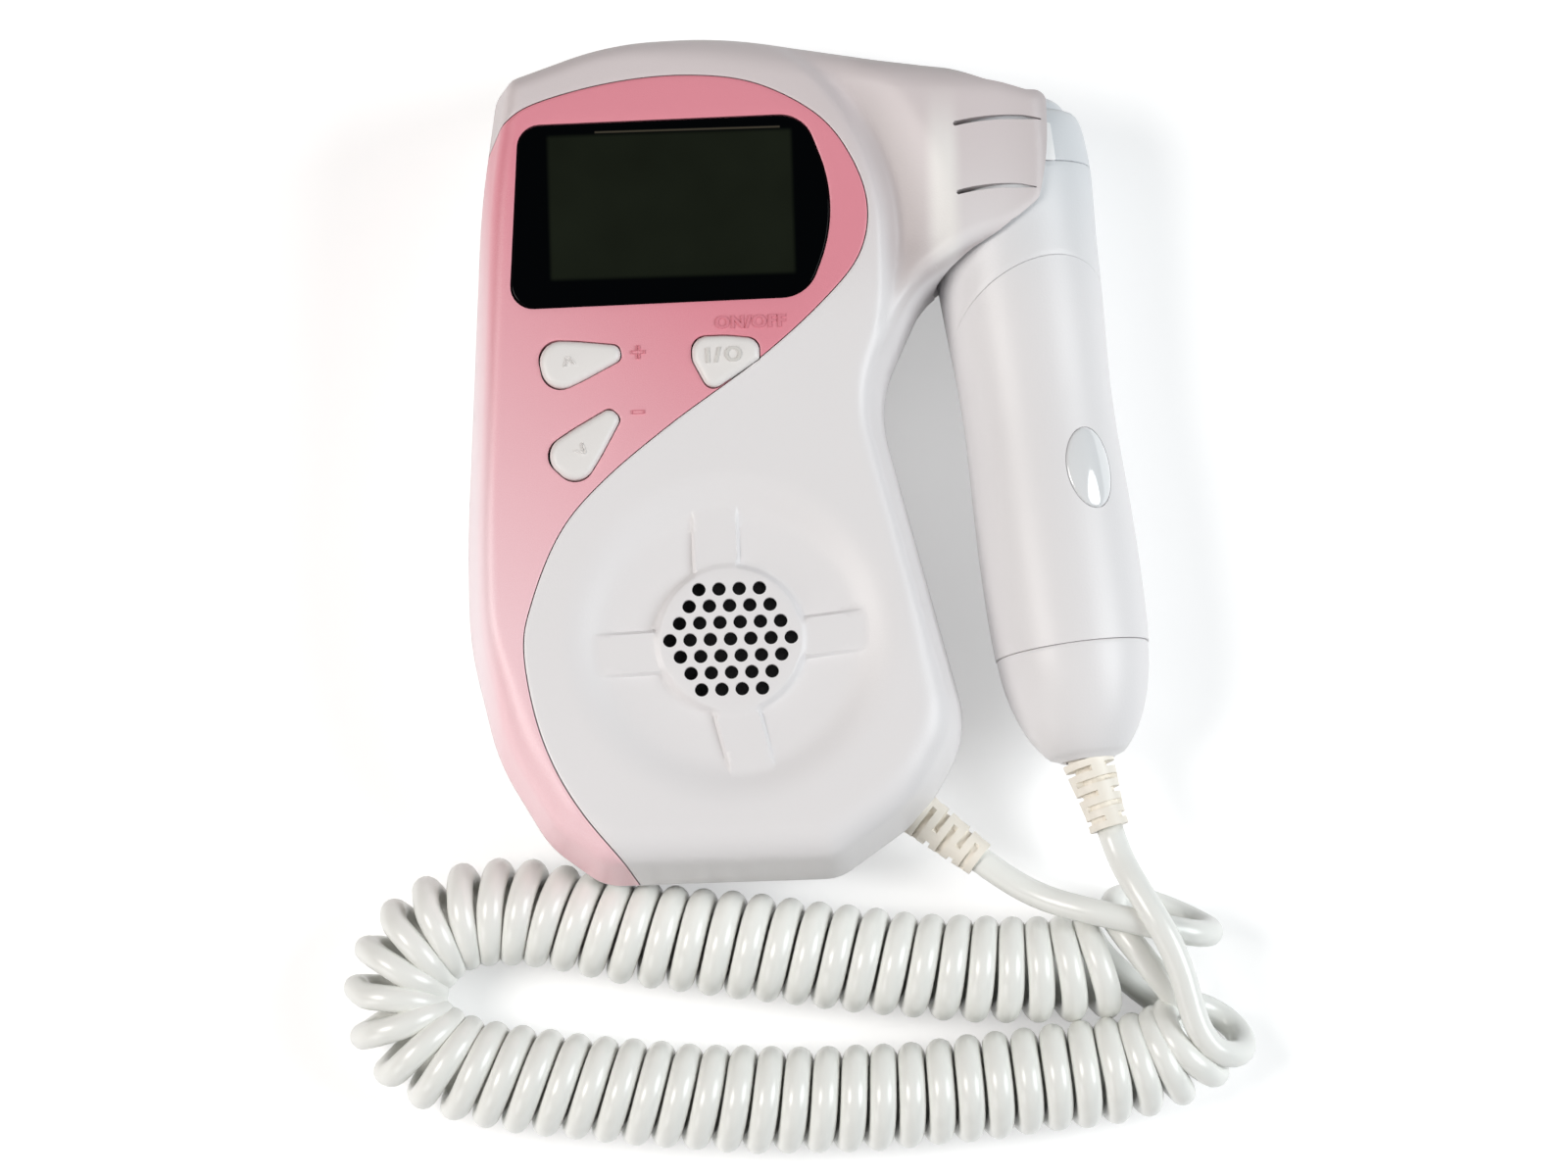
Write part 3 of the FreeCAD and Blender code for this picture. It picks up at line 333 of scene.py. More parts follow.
# %% [markdown]
# ## Stage and light
#
# Two soft lamps stand left and right of the object, the left one a little warm and the right one a
# little cool, so that the two sides of every round form part in colour as well as in tone. A low third
# lamp keeps the front edges from going dark. The floor is one large pale plane. Seen straight by the
# camera it gives out a little light of its own, so that it reads as white paper, but it still keeps the
# soft shadow of the object.

# %% Floor
FLOOR_HALF = 3000.0
FLOOR_Z = -0.2
FLOOR_GLOW = 0.42
floor_corners = [(x * FLOOR_HALF, y * FLOOR_HALF, FLOOR_Z) for x, y in ((-1, -1), (1, -1), (1, 1), (-1, 1))]
floor = mesh_object("floor", floor_corners, [(0, 1, 2, 3)], smooth=False)
paper, paper_tree, paper_shader = new_material("white_paper")
ray = add_node(paper_tree, "LightPath", {}).outputs
seen = arithmetic(paper_tree, "MAXIMUM", ray["Is Camera Ray"], ray["Is Glossy Ray"])
seen = arithmetic(paper_tree, "MAXIMUM", seen, ray["Is Transmission Ray"])
set_inputs(paper_tree, paper_shader, {
    "Base Color": (0.8, 0.8, 0.8), "Roughness": 0.9, "Emission Color": (1, 1, 1),
    "Emission Strength": arithmetic(paper_tree, "MULTIPLY", seen, FLOOR_GLOW)})
floor.data.materials.append(paper)
print("floor of", 2 * FLOOR_HALF * MM, "m a side")

# %% Lamps and room
# Each lamp: its place, its size in metres, its watts and its colour. All look at the origin.
LAMPS = {"key_lamp": ((-0.7, -0.05, 0.85), 0.5, 7.2, (1.0, 0.965, 0.935)),
         "right_lamp": ((0.9, -0.05, 0.6), 0.7, 9.0, (0.94, 0.98, 1.0)),
         "low_lamp": ((-0.8, -0.7, 0.35), 0.6, 2.5, (1.0, 1.0, 1.0))}
for name, (place, size, watts, colour) in LAMPS.items():
    data = bpy.data.lights.new(name, "AREA")
    data.shape, data.size, data.energy, data.color = "DISK", size, watts, colour
    lamp = new_object(name, data)
    lamp.location = place
    lamp.rotation_euler = (-Vector(place)).to_track_quat("-Z", "Y").to_euler()
ROOM_LIGHT = 0.07
world = bpy.data.worlds.new("soft_room")
world.use_nodes = True
set_inputs(world.node_tree, world.node_tree.nodes["Background"],
           {"Color": (1, 1, 1), "Strength": ROOM_LIGHT})
bpy.context.scene.world = world
bpy.context.scene.view_settings.view_transform = "Standard"
print("lamps", list(LAMPS), "in", world.name)

# %% [markdown]
# ## Surfaces
#
# Every finish here is procedural, so it needs no pictures and no unwrapping: the texture is a field in
# space that the surface cuts through. Two effects come back in nearly all of them, the fine grain that a
# spark-cut mould leaves on plastic and the slow drift of a colour over a large part. Each is built once
# as a node group. The shader itself stays in the material, where its plain values can be seen.

# %% Shared node groups
def noise_group(name, detail, output, kind, inputs):
    """A node group with a noise in the object's own space; returns it with its sockets."""
    group = bpy.data.node_groups.new(name, "ShaderNodeTree")
    for label, socket_kind, value in inputs:
        socket = group.interface.new_socket(label, in_out="INPUT", socket_type=socket_kind)
        socket.default_value = value
    group.interface.new_socket(output, in_out="OUTPUT", socket_type=kind)
    start, end = group.nodes.new("NodeGroupInput"), group.nodes.new("NodeGroupOutput")
    place = add_node(group, "TexCoord", {}).outputs["Object"]
    noise = add_node(group, "TexNoise", {"Vector": place, "Scale": start.outputs["Size"], "Detail": detail})
    return group, start.outputs, noise.outputs["Fac"], end.inputs[output]


def mould_grain_group():
    """Normal of a surface with the fine pits of a spark-cut mould."""
    group, start, noise, end = noise_group(
        "mould_grain", 3.0, "Normal", "NodeSocketVector",
        [("Size", "NodeSocketFloat", 3500.0), ("Depth", "NodeSocketFloat", 0.00002)])
    bump = add_node(group, "Bump", {"Height": noise, "Distance": start["Depth"], "Strength": 1.0})
    group.links.new(bump.outputs["Normal"], end)
    return group


def colour_drift_group():
    """A colour that grows a little lighter and darker over the part."""
    group, start, noise, end = noise_group(
        "colour_drift", 2.0, "Color", "NodeSocketColor",
        [("Color", "NodeSocketColor", (1, 1, 1, 1)), ("Size", "NodeSocketFloat", 40.0),
         ("Amount", "NodeSocketFloat", 0.03)])
    change = arithmetic(group, "SUBTRACT", noise, 0.5)
    scale = arithmetic(group, "MULTIPLY_ADD", change, start["Amount"], 1.0)
    tint = add_node(group, "VectorMath", {0: start["Color"], "Scale": scale}, operation="SCALE")
    group.links.new(tint.outputs["Vector"], end)
    return group


mould_grain = mould_grain_group()
colour_drift = colour_drift_group()
print("node groups", [group.name for group in bpy.data.node_groups])

# %% [markdown]
# A place on the part is three numbers that nodes can read. A ramp turns one of them into a share from 0 to
# 1, the product of several ramps is a mask, and a mask lays one colour over another. That is all that
# the painted finishes below are made of. Painting a picture by hand would do as well, but it needs an
# unwrapped surface and it can't be changed by a number.

# %% Ramps, masks and mixed colours
def object_place(tree):
    """The place in the object's own space, in metres, as one socket and as its X, Y and Z."""
    place = add_node(tree, "TexCoord", {}).outputs["Object"]
    return place, add_node(tree, "SeparateXYZ", {0: place}).outputs


def ramp_between(tree, value, low, high, kind="SMOOTHSTEP"):
    """A 0 to 1 as a value goes from low to high."""
    inputs = {"Value": value, "From Min": low, "From Max": high}
    return add_node(tree, "MapRange", inputs, interpolation_type=kind).outputs["Result"]


def mask(tree, *limits):
    """The product of several ramps: 1 only where every value has passed from its low to its high."""
    shares = [ramp_between(tree, *limit) for limit in limits]
    result = shares[0]
    for share in shares[1:]:
        result = arithmetic(tree, "MULTIPLY", result, share)
    return result


def field_mask(tree, axes, field, soft):
    """1 inside a rectangle of the plan, given by its two X and its two Y, with soft edges."""
    left, right, foot, head = field
    return mask(tree, (axes["X"], left - soft, left + soft), (axes["X"], right + soft, right - soft),
                (axes["Y"], foot - soft, foot + soft), (axes["Y"], head + soft, head - soft))


def mixed(tree, share, under, over):
    """A share of one colour laid over another."""
    return add_node(tree, "Mix", {"Factor": share, 6: under, 7: over}, data_type="RGBA").outputs[2]


print("helpers for", [made.__name__ for made in (ramp_between, mask, field_mask, mixed)])

# %% [markdown]
# The white of the case is painted darker towards the display end, at the clip and the display, as painted
# shade for the light that falls off there. A ramp along Y says how much. On the clip arm the hollow is
# painted darker still, painted shade, which a mask by height finds, and the crest beside it is painted
# bright, a painted highlight, which a mask by the distance from a line of the plan finds.

# %% White with painted shade and highlight
WHITE = (0.80, 0.78, 0.785)
# The two darker whites are painted shade for the light that falls off towards the display end.
WHITE_PAINTED_SHADE = (0.66, 0.595, 0.60)
COOL_PAINTED_SHADE = (0.665, 0.69, 0.715)
# Painted shade in the arm's hollow, and a painted highlight on its crest.
HOLLOW_PAINTED_SHADE = (0.56, 0.505, 0.505)
CREST_HIGHLIGHT = (0.84, 0.82, 0.80)
CREST_X = 0.0246


def painted_shade_ramp(tree, shade_colour=COOL_PAINTED_SHADE):
    """White that changes along Y to a darker colour, painted shade towards the display end."""
    axes = object_place(tree)[1]
    return mixed(tree, ramp_between(tree, axes["Y"], 0.018, 0.058), WHITE, shade_colour)


def white_painted_light(tree):
    """The case's white with painted shade towards the display end and in the arm's hollow, and a painted
    highlight on its crest.
    """
    axes = object_place(tree)[1]
    # Painted shade: the low floor of the arm's valley is painted grey where shade falls in it.
    hollow_shade = mask(tree, (axes["Y"], 0.016, 0.034), (axes["X"], 0.008, 0.014),
                  (axes["Z"], 0.0334, 0.0306), (axes["Z"], 0.026, 0.0295))
    # Painted highlight: a lighter band along the crest of the arm, where the light catches it.
    from_line = arithmetic(tree, "ABSOLUTE", arithmetic(tree, "SUBTRACT", axes["X"], CREST_X))
    crest_highlight = mask(tree, (from_line, 0.0036, 0.0008), (axes["Y"], 0.026, 0.036), (axes["Y"], 0.062, 0.046))
    return mixed(tree, crest_highlight, mixed(tree, hollow_shade, painted_shade_ramp(tree, WHITE_PAINTED_SHADE), HOLLOW_PAINTED_SHADE), CREST_HIGHLIGHT)


# Prints the white and the painted shade that it turns to.
print("white takes painted shade from", WHITE, "to", WHITE_PAINTED_SHADE)

# %% [markdown]
# The pink paint is a satin lacquer with very fine flakes. It has the slow drift and a speckle of a tenth
# of a millimetre. It is deeper in colour towards the display end, partly its own colour and partly painted
# shade for the light that falls off there. On the steep left side wall it is painted pale, a painted sheen.

# %% Pink paint and cell wrap
PINK_DEEP = (0.76, 0.27, 0.33)
PINK_PALE = (0.95, 0.66, 0.70)
PINK_SIDE_SHEEN = (0.95, 0.80, 0.84)
CELL_BLUE = (0.02, 0.05, 0.12)
CELL_BAND = (0.55, 0.55, 0.56)


def pink_paint(tree):
    """Speckled pink that deepens towards the display end, partly as painted shade, with a painted sheen on
    the left side wall.
    """
    place, axes = object_place(tree)
    # Partly painted shade: the pink deepens along this slant towards the display end.
    slant = arithmetic(tree, "MULTIPLY_ADD", axes["X"], 0.78, axes["Y"])
    fade = ramp_between(tree, slant, -0.07, 0.045, "LINEAR")
    speckle = add_node(tree, "TexNoise", {"Vector": place, "Scale": 6500.0}).outputs["Fac"]
    ramp = add_node(tree, "ValToRGB", {"Fac": arithmetic(tree, "MULTIPLY_ADD", speckle, 0.35, fade)})
    for end, colour, position in zip(ramp.color_ramp.elements, (PINK_PALE, PINK_DEEP), (0.1, 1.2 / 1.35)):
        end.color, end.position = (*colour, 1), position
    # Painted sheen: the left side wall is painted pale where the light strikes it.
    side_sheen = ramp_between(tree, axes["X"], -0.0515, -0.0555, "LINEAR")
    return mixed(tree, side_sheen, ramp.outputs["Color"], PINK_SIDE_SHEEN)


def cell_wrap(tree):
    """The cells lie in the back. Their plain foot comes from its place along Y."""
    low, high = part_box("battery_cells")
    band = (low[0] - MM, high[0] + MM, low[1] + 12 * MM, high[1] - 3 * MM)
    return mixed(tree, field_mask(tree, object_place(tree)[1], band, 0.0002), CELL_BAND, CELL_BLUE)


print("pink runs from", PINK_DEEP, "to", PINK_PALE)

# %% [markdown]
# All these plastics, rubbers and metals are one table: colour, roughness, grain and drift, and a clear coat
# or metal where there is one. Sizes count how many grains lie in a metre, so 3500 is a grain of about
# 0.3 mm, and depths are in metres.

# %% Table of finishes
def finish_material(name, colour, rough, grain, drift, extra=None):
    """A drifting colour and a grain; the colour is a plain one, or a function that paints it with nodes."""
    material, tree, shader = new_material(name)
    tint = add_node(tree, "Group", {"Color": colour(tree) if callable(colour) else colour,
                                    "Size": drift[0], "Amount": drift[1]}, node_tree=colour_drift)
    relief = add_node(tree, "Group", {"Size": grain[0], "Depth": grain[1]}, node_tree=mould_grain)
    set_inputs(tree, shader, {"Base Color": tint.outputs["Color"], "Normal": relief.outputs["Normal"],
                              "Roughness": rough, **(extra or {})})
    return material


FIELD_COLOUR = (0.0098, 0.0125, 0.0078)
METAL = {"Metallic": 1.0}
FINISH_TABLE = {
    "white_shell": (WHITE, 0.42, (2600, 0.000022), (30, 0.04)),
    "white_painted_light": (white_painted_light, 0.42, (2600, 0.000022), (30, 0.04)),
    "painted_shade_ramp": (painted_shade_ramp, 0.42, (2600, 0.000022), (30, 0.04)),
    # The tab is painted brighter than the ring, a painted highlight.
    "tab_white_highlight": ((0.93, 0.93, 0.93), 0.3, (3000, 0.00001), (120, 0.05)),
    "pink_paint": (pink_paint, 0.4, (5000, 0.00003), (25, 0.03),
                   {"Coat Weight": 0.1, "Coat Roughness": 0.3}),
    # The deeper colours of the marks are painted shade that makes their relief stand out.
    "mark_pink_shaded": ((0.69, 0.23, 0.285), 0.4, (5000, 0.00002), (25, 0.03)),
    "key_white": ((0.80, 0.775, 0.758), 0.42, (3000, 0.00001), (120, 0.05)),
    "mark_grey_shaded": ((0.66, 0.64, 0.61), 0.42, (3000, 0.00001), (120, 0.05)),
    "cord_white": ((0.86, 0.865, 0.83), 0.28, (500, 0.00004), (60, 0.06),
                   {"Coat Weight": 0.25, "Coat Roughness": 0.2}),
    "relief_cream": ((0.88, 0.83, 0.74), 0.45, (2500, 0.00002), (90, 0.08)),
    "badge_grey": ((0.78, 0.79, 0.80), 0.12, (300, 0.00001), (200, 0.04),
                   {"Coat Weight": 1.0, "Coat Roughness": 0.05}),
    "lens_grey": ((0.60, 0.63, 0.66), 0.3, (900, 0.00001), (80, 0.06)),
    "lcd": (FIELD_COLOUR, 0.3, (4000, 0.00001), (90, 0.3)),
    "seal_rubber": ((0.05, 0.05, 0.055), 0.6, (3000, 0.00002), (90, 0.2)),
    "black_plastic": ((0.012, 0.012, 0.014), 0.5, (3000, 0.00003), (90, 0.2)),
    "frame_white": ((0.7, 0.7, 0.68), 0.5, (2500, 0.00003), (60, 0.08)),
    "steel": ((0.55, 0.55, 0.56), 0.34, (1800, 0.00002), (200, 0.15), METAL),
    "nickel": ((0.66, 0.62, 0.55), 0.24, (1500, 0.00001), (200, 0.15), METAL),
    "magnet_grey": ((0.08, 0.08, 0.085), 0.55, (1200, 0.00006), (150, 0.2)),
    "ceramic": ((0.62, 0.58, 0.48), 0.5, (2500, 0.00003), (200, 0.1)),
    "resin": ((0.10, 0.07, 0.05), 0.4, (800, 0.00006), (150, 0.3)),
    "paper_cone": ((0.018, 0.018, 0.02), 0.85, (1500, 0.00015), (300, 0.4)),
    "cell_wrap": (cell_wrap, 0.28, (900, 0.00001), (90, 0.2), {"Coat Weight": 0.5}),
}
FINISHES = {name: finish_material(name, *values) for name, values in FINISH_TABLE.items()}
print(len(FINISHES), "finishes of the table")

# %% [markdown]
# The display window is one glossy black plate. The liquid crystal shows through its clear middle as a
# faintly olive field with a thin light line above it, where the polariser ends. The field is a mask
# made of four soft edges, measured along X and Y. The circuit board carries copper tracks, which a brick
# texture gives.

# %% Display window and board
LCD_FIELD = (-0.0414, -0.0007, 0.0287, 0.0531)
LCD_LINE = (-0.0335, -0.0025, 0.05345, 0.05375)
BORDER_COLOUR = (0.0008, 0.0012, 0.0016)
LINE_COLOUR = (0.055, 0.047, 0.034)


def window_glass():
    """A glossy black plate with the crystal's field and the light line above it."""
    material, tree, shader = new_material("window")
    axes = object_place(tree)[1]
    cloud = add_node(tree, "Group", {"Color": FIELD_COLOUR, "Size": 90, "Amount": 0.5},
                     node_tree=colour_drift)
    colour = mixed(tree, field_mask(tree, axes, LCD_FIELD, 0.0005), BORDER_COLOUR, cloud.outputs["Color"])
    colour = mixed(tree, field_mask(tree, axes, LCD_LINE, 0.0001), colour, LINE_COLOUR)
    set_inputs(tree, shader, {"Base Color": colour, "Roughness": 0.06, "Specular IOR Level": 0.08})
    return material


def board_green():
    """Green lacquer with the tracks showing through it."""
    material, tree, shader = new_material("board_green")
    tracks = add_node(tree, "TexBrick", {
        "Vector": object_place(tree)[0], "Scale": 260.0, "Mortar Size": 0.05,
        "Color1": (0.01, 0.09, 0.03), "Color2": (0.012, 0.105, 0.035), "Mortar": (0.03, 0.2, 0.07)})
    relief = add_node(tree, "Bump", {"Height": tracks.outputs["Fac"], "Distance": 0.00004})
    set_inputs(tree, shader, {"Base Color": tracks.outputs["Color"], "Normal": relief.outputs["Normal"],
                              "Roughness": 0.35})
    return material


FINISHES["window"] = window_glass()
FINISHES["board_green"] = board_green()
print(len(FINISHES), "finishes in all")

# %% [markdown]
# Many real pieces never get a new shape here, because they are right as they were drawn: springs, screws,
# cells, the back of the case. Those solids stay in view and take one finish each. A solid that a better
# mesh stands for is hidden by the frame and needs none.

# %% Finishes of the solids that stay in view
def give(item, finish):
    """One finish for the whole of a piece."""
    if not item.material_slots:
        item.data.materials.append(None)
    for slot in item.material_slots:
        slot.material = FINISHES[finish]


def hand_over(item, body, finish, slot, node=None):
    """Says how a piece looks, what it moves with, and the solid that it stands for; its slot is not used."""
    give(item, finish)
    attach(item, body)
    if node:
        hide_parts(node)
    return item


# The darker white finishes here carry painted shade towards the display end.
CAD_FINISH = {
    "white_painted_light": ["rear_shell"], "painted_shade_ramp": ["probe_barrel"], "white_shell": ["battery_door"],
    "window": ["display_window"], "lcd": ["lcd_panel"], "frame_white": ["lcd_frame"],
    "board_green": ["main_board", "probe_board"],
    "black_plastic": ["tact_switches", "volume_up_stem", "volume_down_stem", "power_stem", "speaker_gasket"],
    "steel": ["speaker_frame", "case_screws", "board_screws"], "paper_cone": ["speaker_cone"],
    "magnet_grey": ["speaker_magnet"], "cell_wrap": ["battery_cells"],
    "nickel": ["battery_plates", "battery_springs"], "seal_rubber": ["lens_seal"],
    "ceramic": ["transducer_crystals"], "resin": ["damping_block"],
    "relief_cream": ["monitor_strain_relief", "probe_strain_relief"],
}
for finish, names in CAD_FINISH.items():
    for name in names:
        give(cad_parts[name], finish)
for lead in (lead_from_monitor, lead_to_probe):
    give(lead, "cord_white")
print("finished", sum(len(names) for names in CAD_FINISH.values()), "solids")

# %% [markdown]
# ## The front cover as a height map
#
# The face of the case is a relief: a rounded rim, a hollow round the speaker, a valley beside the clip
# arm, and a jaw that bends over the probe. All of it can be said as one height above the table for each
# place on the plan. So the cover is made like a terrain: choose points on the plan, more of them where
# the form turns quickly, let Blender's Delaunay triangulation join them, and lift each point to its
# height. Sculpting or booleans would also do, but here every edge lies where the drawing says.

# %% Plan outline of the case
OUTLINE = [(-35.7, -71.5, 9.0), (3.6, -71.4, 8.0), (18.4, -61.3, 26.0), (26.1, -47.6, 16.5),
           (12.6, 8.4, 20.0), (20.8, 25.6, 14.0), (31.0, 31.0, 18.0), (38.0, 33.2, 14.0), (44.8, 38.8, 7.5),
           (45.1, 47.3, 30.0), (45.2, 61.4, 5.5), (35.0, 64.6, 30.0), (15.0, 67.6, 60.0),
           (-11.2, 72.3, 80.0), (-31.1, 71.75, 55.0), (-50.3, 65.2, 5.5), (-53.6, 44.5, 150.0),
           (-57.25, -13.2, 200.0), (-57.25, -30.3, 55.0), (-52.9, -50.2, 36.0), (-44.6, -64.7, 16.0)]
PART_Z = 17.0
FACE_Z = 34.0
FRONT_DRAFT = 3.0
WALL = 2.8
print("outline of", len(OUTLINE), "rounded corners")

# %% [markdown]
# A list of corners, each with its radius, is the shortest way to say such an outline. These helpers turn
# it into points as close together as each use asks, and move all its sides inwards for a wall or a gap.
# A Bezier curve would hold the same shape, but its handles say nothing of radii and can't be moved in.

# %% Rounded polygons
def left_of(way):
    """The direction square to another one of the plan, on its left."""
    return Vector((-way.y, way.x))


def corner_ways(corners):
    """Each corner's place and radius, the directions of the sides into it and out of it, and their cross."""
    for i, (x, y, radius) in enumerate(corners):
        here = Vector((x, y))
        into = (here - Vector(corners[i - 1][:2])).normalized()
        out = (Vector(corners[(i + 1) % len(corners)][:2]) - here).normalized()
        yield (x, y), radius, into, out, into.x * out.y - into.y * out.x


def moved_in(corners, by):
    """The same rounded polygon with every side moved inwards."""
    moved = []
    for (x, y), radius, into, out, cross in corner_ways(corners):
        shift = (out - into) * (by / cross)
        moved.append((x + shift.x, y + shift.y, max(radius - math.copysign(by, cross), 0.3)))
    return moved


def rounded_loop(corners, step):
    """Points round a rounded polygon, at most a step apart."""
    arcs = []
    for here, radius, into, out, cross in corner_ways(corners):
        bend = math.atan2(cross, into.dot(out))
        first = Vector(here) - into * (radius * math.tan(abs(bend) / 2))
        centre = first + left_of(into) * math.copysign(radius, bend)
        start = first - centre
        count = max(2, math.ceil(abs(bend) * radius / step) + 1)
        angles = [bend * k / (count - 1) for k in range(count)]
        arcs.append([centre + Vector((start.x * math.cos(a) - start.y * math.sin(a),
                                      start.x * math.sin(a) + start.y * math.cos(a))) for a in angles])
    loop = []
    for i, arc in enumerate(arcs):
        loop += arc
        side = arcs[(i + 1) % len(arcs)][0] - arc[-1]
        count = max(1, math.ceil(side.length / step))
        loop += [arc[-1] + side * (k / count) for k in range(1, count)]
    return loop


print("the outline is", round(walk(rounded_loop(OUTLINE, 1.0))[-1]), "mm round")

# %% [markdown]
# How near a place is to an edge decides how far the face is rounded down there. A search tree over closely
# set points of the edge answers that at once. An exact formula for arcs and lines would be slower here.

# %% Distances on the plan
def tree_of(points):
    """A search tree of points of the plan."""
    tree = KDTree(len(points))
    for k, p in enumerate(points):
        tree.insert((p[0], p[1], 0), k)
    tree.balance()
    return tree


def away(tree, x, y):
    """How far a place is from the nearest point of a tree."""
    return tree.find((x, y, 0))[2]


edge_tree = tree_of(rounded_loop(OUTLINE, 0.06))


def inside(point, loop):
    """Whether a point of the plan lies within a closed loop."""
    x, y = point[0], point[1]
    odd = False
    for a, b in zip(loop, loop[1:] + loop[:1]):
        if (a[1] > y) != (b[1] > y) and x < a[0] + (y - a[1]) * (b[0] - a[0]) / (b[1] - a[1]):
            odd = not odd
    return odd


def from_edge(x, y):
    """How far a point inside the outline is from it."""
    return away(edge_tree, x, y)


print("the middle of the case is", round(from_edge(0, 0), 1), "mm from its edge")

# %% [markdown]
# The face is built up as it would be said aloud: flat, less the hollow round the speaker, less the valley,
# less the bend of the jaw, and rounded over into a side wall that leans in by 3 mm so that the part leaves
# its mould. A smooth step or a square root softens every place where two of these meet, as a tool maker's
# radius does.

# %% Hollow round the speaker
SPEAKER = (-13.3, -32.5)
DISC_R = 12.65
DISC_FOOT = 0.3             # how far its soft edge reaches outside, and inside
DISC_SHOULDER = 1.1
DISC_Z = FACE_Z - 0.9
STRAP_Z = FACE_Z - 1.35
CROSS = (SPEAKER[0] - 1.85, SPEAKER[1] - 1.4)       # where the straps' middle lines meet
STRAPS = [(math.radians(5.7), 3.35), (math.radians(90.5), 3.7), (math.radians(182.0), 3.5),
          (math.radians(283.4), 3.7)]
STRAP_EDGE = 0.3
BOWL = [(0.0, 2.2), (12.4, 2.2), (19.5, 1.95), (21.6, 1.65), (25.0, 0.5), (26.9, 0.1), (28.4, 0.0)]


def bowl_height(x, y):
    """The hollow round the speaker, with the disc and the four straps left standing in it."""
    dx, dy = x - SPEAKER[0], y - SPEAKER[1]
    r = math.hypot(dx, dy)
    if r > BOWL[-1][0]:
        return FACE_Z
    base = FACE_Z - eased(BOWL, r)
    dx, dy = x - CROSS[0], y - CROSS[1]
    for turn, half in STRAPS:
        forward = dx * math.cos(turn) + dy * math.sin(turn)
        across = dy * math.cos(turn) - dx * math.sin(turn)
        if forward > 0 and abs(across) < half + STRAP_EDGE and STRAP_Z > base:
            base += (STRAP_Z - base) * smooth_step((half + STRAP_EDGE - abs(across)) / (2 * STRAP_EDGE))
            break
    return base + (DISC_Z - base) * smooth_step((DISC_R + DISC_FOOT - r) / (DISC_FOOT + DISC_SHOULDER))


print("dish", round(FACE_Z - bowl_height(*SPEAKER), 2), "mm deep at its disc")

# %% [markdown]
# The valley parts the display's island from the arm that holds the probe. Its two banks are straight
# slopes of different steepness that meet in a round bottom, which is what the square root makes.

# %% Valley
VALLEY_C = (-22.0, 35.0)
VALLEY_R = 39.2
VALLEY_DEPTH = 3.7
VALLEY_SLOPES = (1.35, 0.44)        # its inner and its outer bank
VALLEY_RISE = 5.4           # how fast its bottom rises on the way round the top of the display
VALLEY_END = 0.62           # in radians, where it has faded out on the way down
VALLEY_ROUND = 1.2          # softens its bottom
VALLEY_LIP = 0.35           # softens its upper edges


def valley_drop(x, y):
    """The valley runs on a circle round the display, deepest to the right, and fades along both ways."""
    dx, dy = x - VALLEY_C[0], y - VALLEY_C[1]
    angle = math.atan2(dy, dx)
    if angle > 0:
        depth = VALLEY_DEPTH - VALLEY_RISE * (1 - math.cos(angle))
    else:
        depth = VALLEY_DEPTH * smooth_step(1 + angle / VALLEY_END)
    if depth <= 0:
        return 0.0
    u = math.hypot(dx, dy) - VALLEY_R
    left = depth - VALLEY_SLOPES[u >= 0] * (math.sqrt(u * u + VALLEY_ROUND) - math.sqrt(VALLEY_ROUND))
    if left <= -3:
        return 0.0
    return 0.5 * (left + math.sqrt(left * left + VALLEY_LIP)) * smooth_step(depth / 1.4)


print("valley", round(valley_drop(VALLEY_C[0] + VALLEY_R, VALLEY_C[1]), 2), "mm deep beside the display")

# %% [markdown]
# The jaw grips a round probe that lies a few degrees off the case's long axis. So a place is told along
# that axis and beside it, and the face sinks more and more past a line, like a lip bent over the probe.

# %% Jaw
AXIS_X = 40.32
AXIS_TILT = math.radians(5.95)
ALONG = Vector((-math.sin(AXIS_TILT), math.cos(AXIS_TILT), 0))
ASIDE = Vector((ALONG.y, -ALONG.x, 0))
JAW_LINE = (48.7, -8.6, 0.137)      # a place along and beside the probe, and the line's lean there
JAW_SLOPE = 0.105
JAW_CURVE = 0.003
JAW_ROUND = 1.2             # softens the line where the bend begins
ARM_FOOT = 12               # the Y above which the case has an arm


def probe_place(x, y):
    """Distance along the probe axis and beside it."""
    return (x - AXIS_X) * ALONG.x + y * ALONG.y, (x - AXIS_X) * ASIDE.x + y * ASIDE.y


def face_top(x, y):
    """Height of the face before its rim is rounded. Past a slanting line the jaw bends over the probe."""
    top = bowl_height(x, y) - valley_drop(x, y)
    along, aside = probe_place(x, y)
    past = aside - JAW_LINE[1] - JAW_LINE[2] * (along - JAW_LINE[0])
    if y > ARM_FOOT and past > -4:
        past = 0.5 * (past + math.sqrt(past * past + JAW_ROUND)) * smooth_step((y - ARM_FOOT) / 10)
        top -= JAW_SLOPE * past + JAW_CURVE * past * past
    return top


print("the probe's axis leans", round(math.degrees(AXIS_TILT), 2), "degrees")

# %% [markdown]
# The rim is an arc between the sloping side wall and the face, and it is worked out from the distance to
# the edge. The inside follows the outside at the thickness of the wall, with a bore for the probe. A
# Solidify modifier would thicken the skin too, but it can't leave room for a bore.

# %% Rim and inside
BORE_R = 14.95
FILLET = 3.0
LEAST_Z = PART_Z + 0.08             # the lowest the cover's inside comes
GRILLE_WALL = 1.1


def roll(x, y):
    """Radius of the rounded rim: large along the top of the arm and round the foot, small elsewhere."""
    arm = smooth_step((y - 50) / 12) * smooth_step((x + 34) / 30) * (1 - 0.5 * smooth_step((x - 20) / 20))
    return FILLET + 2.8 * arm + 3.0 * smooth_step((-22 - y) / 30)


